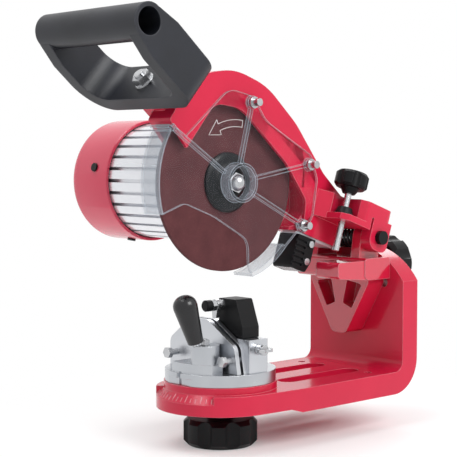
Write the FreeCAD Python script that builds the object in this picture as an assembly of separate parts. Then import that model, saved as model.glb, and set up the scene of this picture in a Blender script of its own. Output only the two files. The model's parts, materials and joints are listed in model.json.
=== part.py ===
import FreeCAD
import Part
import math
import os

# Electric bench grinder for saw chains: a thin resin wheel on a sprung swing arm, a tilting head
# bracket on an L-shaped base casting, and a rotating chain vise on the base's round front platform.
# Millimetres. Z = 0 is the bench top, X is the operator's right and Y points away from the operator.
# The origin is midway between the two long bench slots. The arm is drawn raised, as it rests.

V = FreeCAD.Vector

# Clearances
RUN = 0.05            # radial clearance of a turning or sliding fit
SEAT = 0.02           # radial clearance of a pressed or screwed fit
FACE_GAP = 0.1        # between flat faces that slide on each other
FREE = 0.3            # between parts that pass each other

# Base casting
BASE_WIDTH = 111.4
BASE_FRONT_Y = -55.8
BASE_BACK_Y = 88.4
BASE_THICK = 19.5
HEEL_R = 30.0         # round heel under the upright
CREASE_R = 9.0        # fillet between plate and upright
UPRIGHT_THICK = 19.6
UPRIGHT_TOP_R = 68.0  # round top, concentric with the tilt pivot
SLOT_SPACING = 40.0
SLOT_LENGTH = 85.0
SLOT_WIDTH = 10.0
SLOT_RECESS_WIDTH = 18.0
SLOT_RECESS_DEPTH = 9.0
BENCH_HOLE_SPACING = 80.0
BENCH_HOLE_Y = 41.0
BENCH_HOLE_D = 6.5
UNDER_POCKET_DEPTH = 11.0
UNDER_WALL = 6.0

# Front platform and vise
VISE_Y = -96.0
PLATFORM_R = 52.8
PLATFORM_SEAT_R = 46.5
PLATFORM_SEAT_H = 25.3
PLATFORM_LIFT = 3.5   # platform's underside above the bench, so that only the foot stands on it
PLATFORM_RAMP = 12.0  # length of the ramp from the foot's underside up to it
SCALE_HALF_ANGLE = 42.0
SCALE_EDGE_H = 13.0
TABLE_R = 45.5
TABLE_TOP_Z = 35.0
TABLE_FLAT_CUT = 2.0  # depth of the pointer's flat, in from the round rim
CAM_PAD_TOP_Z = 43.0
VISE_STUD_D = 10.0
VISE_KNOB_R = 30.4
VISE_KNOB_H = 22.0
VISE_KNOB_DROP = 6.0  # knob top below the platform
KNOB_LOBES = 8

# Jaws, cam and lever
JAW_T = 4.0
CHAIN_GAP = 3.0
JAW_BACK_Y = -104.0
JAW_HALF_LENGTH = 41.0
JAW_TOP_Z = 76.0
JAW_SHOULDER_Z = 57.0
JAW_BOLT_X = 33.0
JAW_BOLT_Z = 46.0
JAW_BOLT_D = 5.0
JAW_TRAVEL = 1.0
CAM_X = 16.0
CAM_R = 11.5
CAM_H = 15.0
CAM_THROW = 1.2       # offset of the cam's round from its stud
CAM_STUD_D = 5.0
LEVER_LEAN = 20.0     # degrees from upright, leaning to the operator
LEVER_ROD_D = 5.0
LEVER_OFFSET = 6.4    # rod foot from the cam stud
GRIP_LENGTH = 40.0
GRIP_R_LOW = 6.5
GRIP_R_TOP = 9.8

# Chain stop
STOP_SHELF_Z = 62.0
STOP_SHEET = 2.5
STOP_X0 = 6.0
STOP_X1 = 34.0
STOP_DEPTH = 18.0
STOP_TOP_Z = 93.0
STOP_WALL_X = 43.0
STOP_TRAVEL = 2.0
THUMB_D = 6.0
THUMB_Z = 54.0
PAWL_X = 10.0
PAWL_Z = 88.0
PAWL_PIN_D = 5.0
PAWL_T = 3.8
PAWL_REACH = 10.5

# Head tilt
TILT_Z = 59.0
TILT_PIN_D = 12.0
TILT_SLOT_R = 50.0
TILT_STUD_D = 8.0
TILT_SLOT_HALF_ANGLE = 42.0
TILT_KNOB_R = 25.0
TILT_KNOB_T = 23.0
BRACKET_T = 21.5
BRACKET_HALF_WIDTH = 41.0
BRACKET_LOW_Z = 100.0
BRACKET_TOP_Z = 119.0
BRACKET_DEPTH = 33.0
VEE_HALF_WIDTH = 34.0
VEE_TIP_HALF_WIDTH = 8.0
NOSE_X0 = 14.0
NOSE_X1 = 40.0
NOSE_REACH = 33.0     # stop pad, in front of the bracket block

# Arm hinge
HINGE_Y = 54.0
HINGE_Z = 136.5
HINGE_PIN_D = 10.0
KNUCKLE_R = 11.5
KNUCKLE_X0 = 20.0
KNUCKLE_X1 = 29.7
LUG_R = 12.0
LUG_X1 = 41.0
PIN_CAP_D = 12.0
SPRING_WIRE_D = 2.4
SPRING_MEAN_R = 9.2
SPRING_TURNS = 9

# Arm, in its own frame: origin on the wheel axis, +Y to the hinge, level
ARM_REACH = 154.0
ARM_RAISE = 18.87     # degrees above level at rest
ARM_DOWN = 13.0       # swing of the arm from rest to the stop
WHEEL_R = 72.5
WHEEL_T = 3.2
WHEEL_FACE_X = 3.0
WHEEL_BORE_D = 22.2
HOOD_GAP = 6.5        # wheel rim to hood
HOOD_WALL = 6.5
HOOD_FRONT_X = 11.0
HOOD_FLANGE_T = 3.0
HOOD_BACK_X = -16.0
HOOD_BACK_T = 5.0
ARM_LOW_H = -16.0     # underside of the arm's web
ARM_TOP_H = 26.0      # top of the rear block
REAR_LOW_H = 14.0     # underside of the rear block over the spring
LEDGE_T = 5.5
LEDGE_TOP_H = 8.3

# Motor
MOTOR_R = 49.0
MOTOR_BACK_X = -112.0
MOTOR_BORE_R = 40.0
FIN_COUNT = 30
FIN_GROOVE = 2.8
FIN_DEPTH = 5.0
FIN_FRONT_X = -28.0
CAP_R = 52.15
CAP_WALL = 2.4
CAP_RIM_X = -90.0
CAP_BACK_X = -142.5
CAP_ROUND = 9.0
CAP_SCREW_X = -107.0
CAP_SCREW_ANGLE = 186.0
SHAFT_D = 12.0
SPINDLE_D = 10.0
BEARING_R = 14.0
BEARING_W = 8.0
FLANGE_R = 24.5
FLANGE_T = 7.0
INNER_FLANGE_R = 20.0
INNER_FLANGE_T = 5.8

# Depth stop
DEPTH_X = 28.0
DEPTH_FROM_HINGE = 37.0
DEPTH_ROD_D = 6.0
DEPTH_TIP_H = -23.0
DEPTH_KNOB_R = 14.5
DEPTH_KNOB_T = 14.0
DEPTH_KNOB_H = 33.0

# Handle
HANDLE_X = -14.0
HANDLE_WIDTH = 125.0
HANDLE_BEAM = (-87.2, 50.2)
HANDLE_LEAN = 21.9    # degrees above the level arm
HANDLE_REACH = 67.4
HANDLE_STRAP = 36.0
HANDLE_LEG = 12.0
HANDLE_BEAM_T = 12.0
HANDLE_FOOT_T = 6.0
HANDLE_SWEEP = 32.0   # outer radius of the loop's lower left corner
HANDLE_CORNER = 15.0  # and of its lower right corner
GRIP_TUBE_R = 14.0
GRIP_BORE_R = 10.5
HANDLE_BOLT_D = 8.0

# Clear guard
GUARD_T = 2.5
GUARD_R = 80.0
GUARD_SKIRT_X = -9.0
GUARD_RING_R = 16.0
GUARD_RING_X = 23.0
GUARD_RIB = 3.0
GUARD_SCREWS = ((-4.9, 67.0), (75.0, 40.4), (84.0, -11.0))
GUARD_TAB = (-77.0, 19.5)

# Work lamp
LAMP_X0 = -8.0
LAMP_X1 = 15.0
LAMP_LENGTH = 21.0
LAMP_START = 83.0
LAMP_H = 29.5
LAMP_STRIP_T = 2.5
LENS_T = 2.0

# Derived places
PLATE_Y0 = BASE_FRONT_Y
TABLE_FLAT_Y = TABLE_R - TABLE_FLAT_CUT
UPRIGHT_FRONT_Y = BASE_BACK_Y - UPRIGHT_THICK
BRACKET_BACK_Y = UPRIGHT_FRONT_Y - FREE
BRACKET_FRONT_Y = BRACKET_BACK_Y - BRACKET_T
BLOCK_FRONT_Y = BRACKET_BACK_Y - BRACKET_DEPTH
RAISE = math.radians(ARM_RAISE)
WHEEL_Y = HINGE_Y - ARM_REACH * math.cos(RAISE)
WHEEL_Z = HINGE_Z + ARM_REACH * math.sin(RAISE)
WHEEL_BACK_X = WHEEL_FACE_X - WHEEL_T
HOOD_R = WHEEL_R + HOOD_GAP + HOOD_WALL
STUD_Z = TILT_Z + TILT_SLOT_R
SPRING_PITCH = 2 * (KNUCKLE_X0 - 2 * FREE - SPRING_WIRE_D / 2) / SPRING_TURNS
CAM_Y = JAW_BACK_Y - 2 * JAW_T - CHAIN_GAP - CAM_R - CAM_THROW - FREE
NODES = {}


# Shape helpers
def box(x0, x1, y0, y1, z0, z1):
    return Part.makeBox(x1 - x0, y1 - y0, z1 - z0, V(x0, y0, z0))


def rod_x(x0, x1, y, z, radius):
    return Part.makeCylinder(radius, x1 - x0, V(x0, y, z), V(1, 0, 0))


def rod_y(y0, y1, x, z, radius):
    return Part.makeCylinder(radius, y1 - y0, V(x, y0, z), V(0, 1, 0))


def rod_z(z0, z1, x, y, radius):
    return Part.makeCylinder(radius, z1 - z0, V(x, y, z0), V(0, 0, 1))


def arc_mid(start, apex, end):
    """Middle of the arc that is tangent to apex-start and apex-end at its two ends."""
    half = (start - apex).getAngle(end - apex) / 2
    reach = start.sub(apex).Length
    inward = ((start + end) * 0.5 - apex).normalize()
    return apex + inward * (reach / math.cos(half) - reach * math.tan(half))


def outline(corners, spot):
    """Closed wire through corners (u, v, radius), each corner rounded by its radius."""
    flat = [V(u, v, 0) for u, v, radius in corners]
    ends = []
    for i, (u, v, radius) in enumerate(corners):
        to_last = (flat[i - 1] - flat[i]).normalize()
        to_next = (flat[(i + 1) % len(flat)] - flat[i]).normalize()
        cut = radius / math.tan(to_last.getAngle(to_next) / 2)
        ends.append((flat[i] + to_last * cut, flat[i] + to_next * cut))
    edges = []
    for i, (first, last) in enumerate(ends):
        if corners[i][2] > 0:
            middle = arc_mid(first, flat[i], last)
            edges.append(Part.Arc(spot(first), spot(middle), spot(last)).toShape())
        following = ends[(i + 1) % len(ends)][0]
        if (following - last).Length > 1e-6:
            edges.append(Part.LineSegment(spot(last), spot(following)).toShape())
    return Part.Wire(edges)


def plate_x(corners, x0, x1):
    face = Part.Face(outline(corners, lambda p: V(x0, p.x, p.y)))
    return face.extrude(V(x1 - x0, 0, 0))


def plate_y(corners, y0, y1):
    face = Part.Face(outline(corners, lambda p: V(p.x, y0, p.y)))
    return face.extrude(V(0, y1 - y0, 0))


def plate_z(corners, z0, z1):
    face = Part.Face(outline(corners, lambda p: V(p.x, p.y, z0)))
    return face.extrude(V(0, 0, z1 - z0))


def stadium_z(x, y0, y1, width, z0, z1):
    """Slot with round ends, along Y."""
    half = width / 2
    ends = rod_z(z0, z1, x, y0 + half, half).fuse(rod_z(z0, z1, x, y1 - half, half))
    return ends.fuse(box(x - half, x + half, y0 + half, y1 - half, z0, z1)).removeSplitter()


def turned_x(profile):
    """Solid of revolution about the X axis from (x, radius) points."""
    points = [V(x, r, 0) for x, r in profile]
    face = Part.Face(Part.makePolygon(points + points[:1]))
    return face.revolve(V(0, 0, 0), V(1, 0, 0), 360)


def hexagon_x(x0, x1, y, z, across):
    """Hexagonal prism along X, by its distance across flats."""
    radius = across / math.sqrt(3)
    corners = [(y + radius * math.cos(math.radians(60 * k)), z + radius * math.sin(math.radians(60 * k)), 0)
               for k in range(6)]
    return plate_x(corners, x0, x1)


def sector_x(inner, outer, start, stop, x0, x1):
    """Part of a ring about the X axis between two angles in degrees from +Y towards +Z."""
    ring = rod_x(x0, x1, 0, 0, outer).cut(rod_x(x0 - 1, x1 + 1, 0, 0, inner))
    middle = math.radians((start + stop) / 2)
    half = math.radians(stop - start) / 2
    reach = 2 * outer / math.cos(half)
    wedge = [(0, 0, 0)]
    for angle in (middle - half, middle + half):
        wedge.append((reach * math.cos(angle), reach * math.sin(angle), 0))
    return ring.common(plate_x(wedge, x0, x1))


def lobed_knob(radius, thick, lobes, scallop):
    """Star knob about Z, from z = 0 up, with round scallops in a bevelled rim."""
    bevel = thick * 0.16
    profile = [(0, 0), (radius - bevel, 0), (radius, bevel), (radius, thick - bevel),
               (radius - bevel, thick), (0, thick)]
    points = [V(r, 0, z) for r, z in profile]
    body = Part.Face(Part.makePolygon(points + points[:1])).revolve(V(0, 0, 0), V(0, 0, 1), 360)
    cuts = []
    for k in range(lobes):
        angle = 2 * math.pi * (k + 0.5) / lobes
        reach = radius + scallop * 0.62
        cuts.append(rod_z(-1, thick + 1, reach * math.cos(angle), reach * math.sin(angle), scallop))
    return body.cut(cuts)


def turn(shape, centre, axis, angle):
    """Copy of a shape turned about an axis through a point."""
    turned = shape.copy()
    turned.rotate(V(*centre), V(*axis), angle)
    return turned


def on_arm(shape):
    """Moves a shape from the level arm's own frame to its place on the raised arm."""
    placed = turn(shape, (0, 0, 0), (1, 0, 0), -ARM_RAISE)
    placed.translate(V(0, WHEEL_Y, WHEEL_Z))
    return placed


# Base casting
def base_casting():
    half = BASE_WIDTH / 2
    top_z = TILT_Z + UPRIGHT_TOP_R
    side = [(PLATE_Y0, 0, 2), (BASE_BACK_Y, 0, HEEL_R), (BASE_BACK_Y, top_z, 0), (UPRIGHT_FRONT_Y, top_z, 0),
            (UPRIGHT_FRONT_Y, BASE_THICK, CREASE_R), (PLATE_Y0, BASE_THICK, 2)]
    body = plate_x(side, -half, half)
    crown = rod_y(PLATE_Y0 - 1, BASE_BACK_Y + 1, 0, TILT_Z, UPRIGHT_TOP_R)
    below = box(-half - 1, half + 1, PLATE_Y0 - 1, BASE_BACK_Y + 1, -1, TILT_Z)
    body = body.common(crown.fuse(below))
    flank = math.degrees(math.acos(PLATFORM_R / math.hypot(half, PLATE_Y0 - VISE_Y)))
    bearing = math.radians(math.degrees(math.atan2(PLATE_Y0 - VISE_Y, half)) - flank)
    touch = (PLATFORM_R * math.cos(bearing), VISE_Y + PLATFORM_R * math.sin(bearing))
    neck = [(-half, PLATE_Y0, 0), (-touch[0], touch[1], 0), (touch[0], touch[1], 0), (half, PLATE_Y0, 0),
            (half, PLATE_Y0 + CREASE_R, 0), (-half, PLATE_Y0 + CREASE_R, 0)]
    body = body.fuse([plate_z(neck, 0, BASE_THICK), rod_z(0, BASE_THICK, 0, VISE_Y, PLATFORM_R),
                      rod_z(BASE_THICK - 1, PLATFORM_SEAT_H, 0, VISE_Y, PLATFORM_SEAT_R)])
    # the graduated shelf slopes down to the platform's rim in front
    rim = 2 * PLATFORM_R
    slope = Part.makeCone(PLATFORM_SEAT_R, rim, (BASE_THICK - SCALE_EDGE_H) * (rim - PLATFORM_SEAT_R)
                          / (PLATFORM_R - PLATFORM_SEAT_R), V(0, VISE_Y, BASE_THICK), V(0, 0, -1))
    above = rod_z(0, BASE_THICK, 0, VISE_Y, rim).cut(slope)
    spread = math.radians(SCALE_HALF_ANGLE)
    wedge = [(0, VISE_Y, 0), (-rim * math.sin(spread), VISE_Y - rim * math.cos(spread), 0),
             (0, VISE_Y - 1.5 * rim, 0), (rim * math.sin(spread), VISE_Y - rim * math.cos(spread), 0)]
    body = body.cut(above.common(plate_z(wedge, 0, BASE_THICK)).cut(
        rod_z(0, BASE_THICK, 0, VISE_Y, PLATFORM_SEAT_R)))
    front = VISE_Y - PLATFORM_R - 1
    under = [(front, -1, 0), (PLATE_Y0, -1, 0), (PLATE_Y0, 0, 0), (PLATE_Y0 - PLATFORM_RAMP, PLATFORM_LIFT, 0),
             (front, PLATFORM_LIFT, 0)]
    cuts = [plate_x(under, -half, half),
            rod_z(-1, PLATFORM_SEAT_H + 1, 0, VISE_Y, VISE_STUD_D / 2 + RUN),
            rod_y(UPRIGHT_FRONT_Y - 1, BASE_BACK_Y + 1, 0, TILT_Z, TILT_PIN_D / 2 + RUN)]
    for side_of in (-1, 1):
        slot_x = side_of * SLOT_SPACING / 2
        ends = (-SLOT_LENGTH / 2, SLOT_LENGTH / 2)
        margin = (SLOT_RECESS_WIDTH - SLOT_WIDTH) / 2
        cuts.append(stadium_z(slot_x, ends[0], ends[1], SLOT_WIDTH, -1, BASE_THICK + 1))
        cuts.append(stadium_z(slot_x, ends[0] - margin, ends[1] + margin, SLOT_RECESS_WIDTH,
                              BASE_THICK - SLOT_RECESS_DEPTH, BASE_THICK + 1))
        cuts.append(rod_z(-1, BASE_THICK + 1, side_of * BENCH_HOLE_SPACING / 2, BENCH_HOLE_Y, BENCH_HOLE_D / 2))
        pocket_in = SLOT_SPACING / 2 + SLOT_RECESS_WIDTH / 2 + UNDER_WALL / 2
        pocket = [(side_of * pocket_in, PLATE_Y0 + UNDER_WALL + CREASE_R, 3),
                  (side_of * (half - UNDER_WALL), PLATE_Y0 + UNDER_WALL + CREASE_R, 3),
                  (side_of * (half - UNDER_WALL), BENCH_HOLE_Y - BENCH_HOLE_D - UNDER_WALL, 3),
                  (side_of * pocket_in, BENCH_HOLE_Y - BENCH_HOLE_D - UNDER_WALL, 3)]
        cuts.append(plate_z(pocket, -1, UNDER_POCKET_DEPTH))
    cuts.append(arc_slot())
    return body.cut(cuts).removeSplitter()


def arc_slot():
    """Curved slot for the tilt lock stud, concentric with the tilt pivot."""
    half_width = TILT_STUD_D / 2 + FREE
    y0, y1 = UPRIGHT_FRONT_Y - 1, BASE_BACK_Y + 1
    ring = rod_y(y0, y1, 0, TILT_Z, TILT_SLOT_R + half_width).cut(rod_y(y0, y1, 0, TILT_Z, TILT_SLOT_R - half_width))
    spread = math.radians(TILT_SLOT_HALF_ANGLE)
    reach = 2 * TILT_SLOT_R
    wedge = [(0, TILT_Z, 0), (reach * math.sin(spread), TILT_Z + reach * math.cos(spread), 0),
             (-reach * math.sin(spread), TILT_Z + reach * math.cos(spread), 0)]
    slot = ring.common(plate_y(wedge, y0, y1))
    for side_of in (-1, 1):
        slot = slot.fuse(rod_y(y0, y1, side_of * TILT_SLOT_R * math.sin(spread),
                               TILT_Z + TILT_SLOT_R * math.cos(spread), half_width))
    return slot


NODES["base_casting"] = base_casting()

# Head tilt: bracket, pivot, lock stud and knob
DOWN = math.radians(ARM_RAISE - ARM_DOWN)
PAD_Z = HINGE_Z + DEPTH_FROM_HINGE * math.sin(DOWN) + DEPTH_TIP_H * math.cos(DOWN) - FREE


def tilt_bracket():
    back, front = BRACKET_BACK_Y, BRACKET_FRONT_Y
    tip_z = TILT_Z - TILT_PIN_D / 2 - 3
    vee = [(-VEE_HALF_WIDTH, BRACKET_LOW_Z + 4, 0), (-VEE_HALF_WIDTH, BRACKET_LOW_Z - 4, 4),
           (-VEE_TIP_HALF_WIDTH, tip_z, 7), (VEE_TIP_HALF_WIDTH, tip_z, 7),
           (VEE_HALF_WIDTH, BRACKET_LOW_Z - 4, 4), (VEE_HALF_WIDTH, BRACKET_LOW_Z + 4, 0)]
    body = plate_y(vee, front, back)
    block = [(BLOCK_FRONT_Y, BRACKET_LOW_Z, 5), (back, BRACKET_LOW_Z, 0), (back, BRACKET_TOP_Z, 3),
             (BLOCK_FRONT_Y, BRACKET_TOP_Z, 3)]
    nose_y = BLOCK_FRONT_Y - NOSE_REACH
    nose = [(nose_y, PAD_Z - 14, 4), (BLOCK_FRONT_Y + 6, BRACKET_LOW_Z, 0), (BLOCK_FRONT_Y + 6, PAD_Z, 0),
            (nose_y, PAD_Z, 3)]
    cheek_top = HINGE_Z
    parts = [plate_x(block, -BRACKET_HALF_WIDTH, BRACKET_HALF_WIDTH), plate_x(nose, NOSE_X0, NOSE_X1)]
    for side_of in (-1, 1):
        x0, x1 = sorted((side_of * KNUCKLE_X0, side_of * KNUCKLE_X1))
        cheek = [(HINGE_Y - KNUCKLE_R - 3, BRACKET_TOP_Z - 2, 0), (HINGE_Y + KNUCKLE_R, BRACKET_TOP_Z - 2, 0),
                 (HINGE_Y + KNUCKLE_R, cheek_top, 0), (HINGE_Y - KNUCKLE_R, cheek_top, 0)]
        parts.append(plate_x(cheek, x0, x1))
        parts.append(rod_x(x0, x1, HINGE_Y, HINGE_Z, KNUCKLE_R))
    body = body.fuse(parts)
    # two tapering windows either side of a middle rib lighten the vee
    rib, rim, deep = 4.5, 6.0, 14.0
    slope = (VEE_HALF_WIDTH - VEE_TIP_HALF_WIDTH) / (BRACKET_LOW_Z - 4 - tip_z)
    low = TILT_Z + TILT_PIN_D / 2 + 8
    for side_of in (-1, 1):
        edge = VEE_TIP_HALF_WIDTH + slope * (low - tip_z) - rim
        wide = VEE_HALF_WIDTH - rim - 1
        window = [(side_of * rib, low + 4, 1.5), (side_of * max(edge, rib + 3), low, 1.5),
                  (side_of * wide, BRACKET_LOW_Z - 5, 2), (side_of * (rib + 5), BRACKET_LOW_Z - 2, 2)]
        body = body.cut(plate_y(window, front - 1, front + deep))
    holes = [rod_x(-BRACKET_HALF_WIDTH, BRACKET_HALF_WIDTH, HINGE_Y, HINGE_Z, HINGE_PIN_D / 2 + SEAT),
             rod_y(back - TILT_STUD_D * 1.5, back + 1, 0, STUD_Z, TILT_STUD_D / 2 + SEAT),
             rod_y(front + deep, back + 1, 0, TILT_Z, TILT_PIN_D / 2 + SEAT)]
    return body.cut(holes).removeSplitter()


NUT_AF_M12 = 18.0
PIVOT_NUT_T = 8.0
NODES["tilt_bracket"] = tilt_bracket()
NODES["tilt_pivot_pin"] = rod_y(BRACKET_FRONT_Y + 14, BASE_BACK_Y + PIVOT_NUT_T, 0, TILT_Z, TILT_PIN_D / 2)
nut_y0 = BASE_BACK_Y + FACE_GAP
pivot_nut = turn(hexagon_x(nut_y0, nut_y0 + PIVOT_NUT_T, 0, 0, NUT_AF_M12), (0, 0, 0), (0, 0, 1), 90)
pivot_nut.translate(V(0, 0, TILT_Z))
NODES["tilt_pivot_nut"] = pivot_nut.cut(rod_y(nut_y0 - 1, nut_y0 + PIVOT_NUT_T + 1, 0, TILT_Z, TILT_PIN_D / 2 + SEAT))
WASHER_T = 2.0
KNOB_HUB_T = 8.0
KNOB_HUB_R = 11.0
knob_y = nut_y0 + WASHER_T + FACE_GAP
stud_end_y = knob_y + KNOB_HUB_T + TILT_KNOB_T * 0.6
NODES["tilt_lock_stud"] = rod_y(BRACKET_BACK_Y - TILT_STUD_D * 1.5, stud_end_y, 0, STUD_Z, TILT_STUD_D / 2)
NODES["tilt_washer"] = rod_y(nut_y0, nut_y0 + WASHER_T, 0, STUD_Z, TILT_STUD_D).cut(
    rod_y(nut_y0 - 1, nut_y0 + WASHER_T + 1, 0, STUD_Z, TILT_STUD_D / 2 + SEAT))
tilt_head = turn(lobed_knob(TILT_KNOB_R, TILT_KNOB_T, KNOB_LOBES, 7.0), (0, 0, 0), (1, 0, 0), -90)
tilt_head.translate(V(0, knob_y + KNOB_HUB_T, STUD_Z))
NODES["tilt_knob"] = tilt_head.fuse(rod_y(knob_y, knob_y + KNOB_HUB_T + 1, 0, STUD_Z, KNOB_HUB_R)).cut(
    rod_y(knob_y - 1, stud_end_y + FREE, 0, STUD_Z, TILT_STUD_D / 2 + RUN)).removeSplitter()

# Arm hinge: pin, caps and torsion spring
PIN_CAP_T = 4.5
pin_end = LUG_X1 + FREE
NODES["hinge_pin"] = rod_x(-pin_end, pin_end, HINGE_Y, HINGE_Z, HINGE_PIN_D / 2)
pin_caps = []
for side_of in (-1, 1):
    cap_x = pin_end if side_of > 0 else -pin_end - PIN_CAP_T
    pin_caps.append(rod_x(cap_x, cap_x + PIN_CAP_T, HINGE_Y, HINGE_Z, PIN_CAP_D / 2))
NODES["hinge_pin_caps"] = Part.makeCompound(pin_caps)


def spring_path():
    """Helix round the hinge pin as two tangent arcs for each quarter turn, with a straight leg at each end."""
    quarter = math.pi / 2
    count = 4 * SPRING_TURNS
    start_x = -SPRING_PITCH * SPRING_TURNS / 2
    rise = SPRING_PITCH / (2 * math.pi)
    spots, ways = [], []
    for k in range(count + 1):
        angle = quarter * k
        spots.append(V(start_x + rise * angle, HINGE_Y + SPRING_MEAN_R * math.cos(angle),
                       HINGE_Z + SPRING_MEAN_R * math.sin(angle)))
        ways.append(V(rise, -SPRING_MEAN_R * math.sin(angle), SPRING_MEAN_R * math.cos(angle)).normalize())
    leg = SPRING_WIRE_D * 1.6
    edges = [Part.LineSegment(spots[0] - ways[0] * leg, spots[0]).toShape()]
    for k in range(count):
        chord = spots[k + 1] - spots[k]
        bend = 2 * (1 - ways[k].dot(ways[k + 1]))
        along = 2 * chord.dot(ways[k] + ways[k + 1])
        reach = (math.sqrt(along ** 2 + 4 * bend * chord.dot(chord)) - along) / (2 * bend)
        first, last = spots[k] + ways[k] * reach, spots[k + 1] - ways[k + 1] * reach
        joint = (first + last) * 0.5
        edges.append(Part.Arc(spots[k], arc_mid(spots[k], first, joint), joint).toShape())
        edges.append(Part.Arc(joint, arc_mid(joint, last, spots[k + 1]), spots[k + 1]).toShape())
    edges.append(Part.LineSegment(spots[-1], spots[-1] + ways[-1] * leg).toShape())
    print("return spring, least gap between turns:", round(SPRING_PITCH - SPRING_WIRE_D, 2), "mm")
    return Part.Wire(edges), spots[0] - ways[0] * leg, ways[0]


path, wire_start, wire_way = spring_path()
section = Part.Wire(Part.Circle(wire_start, wire_way, SPRING_WIRE_D / 2).toShape())
shell = Part.BRepOffsetAPI.MakePipeShell(path)
shell.add(section)
shell.build()
shell.makeSolid()
NODES["return_spring"] = shell.shape()


# Swing arm casting with the wheel hood
def handle_spot(along, across):
    """Point of the level arm's frame, from the handle's beam along its legs and square to them."""
    lean = math.radians(HANDLE_LEAN)
    return (HANDLE_BEAM[0] - along * math.cos(lean) + across * math.sin(lean),
            HANDLE_BEAM[1] + along * math.sin(lean) + across * math.cos(lean))


FOOT_ALONG = -HANDLE_BEAM_T / 2 - HANDLE_FOOT_T
POST_HALF = 11.0
POST_WIDTH = 25.0
REAR_X = 22.7         # half width of the rear block's back end
REAR_BEHIND = 28.0    # rear block's reach behind the hinge
FLARE_FROM = 22.0     # widest part of the rear block, in front of the hinge
MOTOR_SEAT_R = 56.0
ARM_BOLT_R = 32.0
ARM_BOLT_D = 5.0


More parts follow.
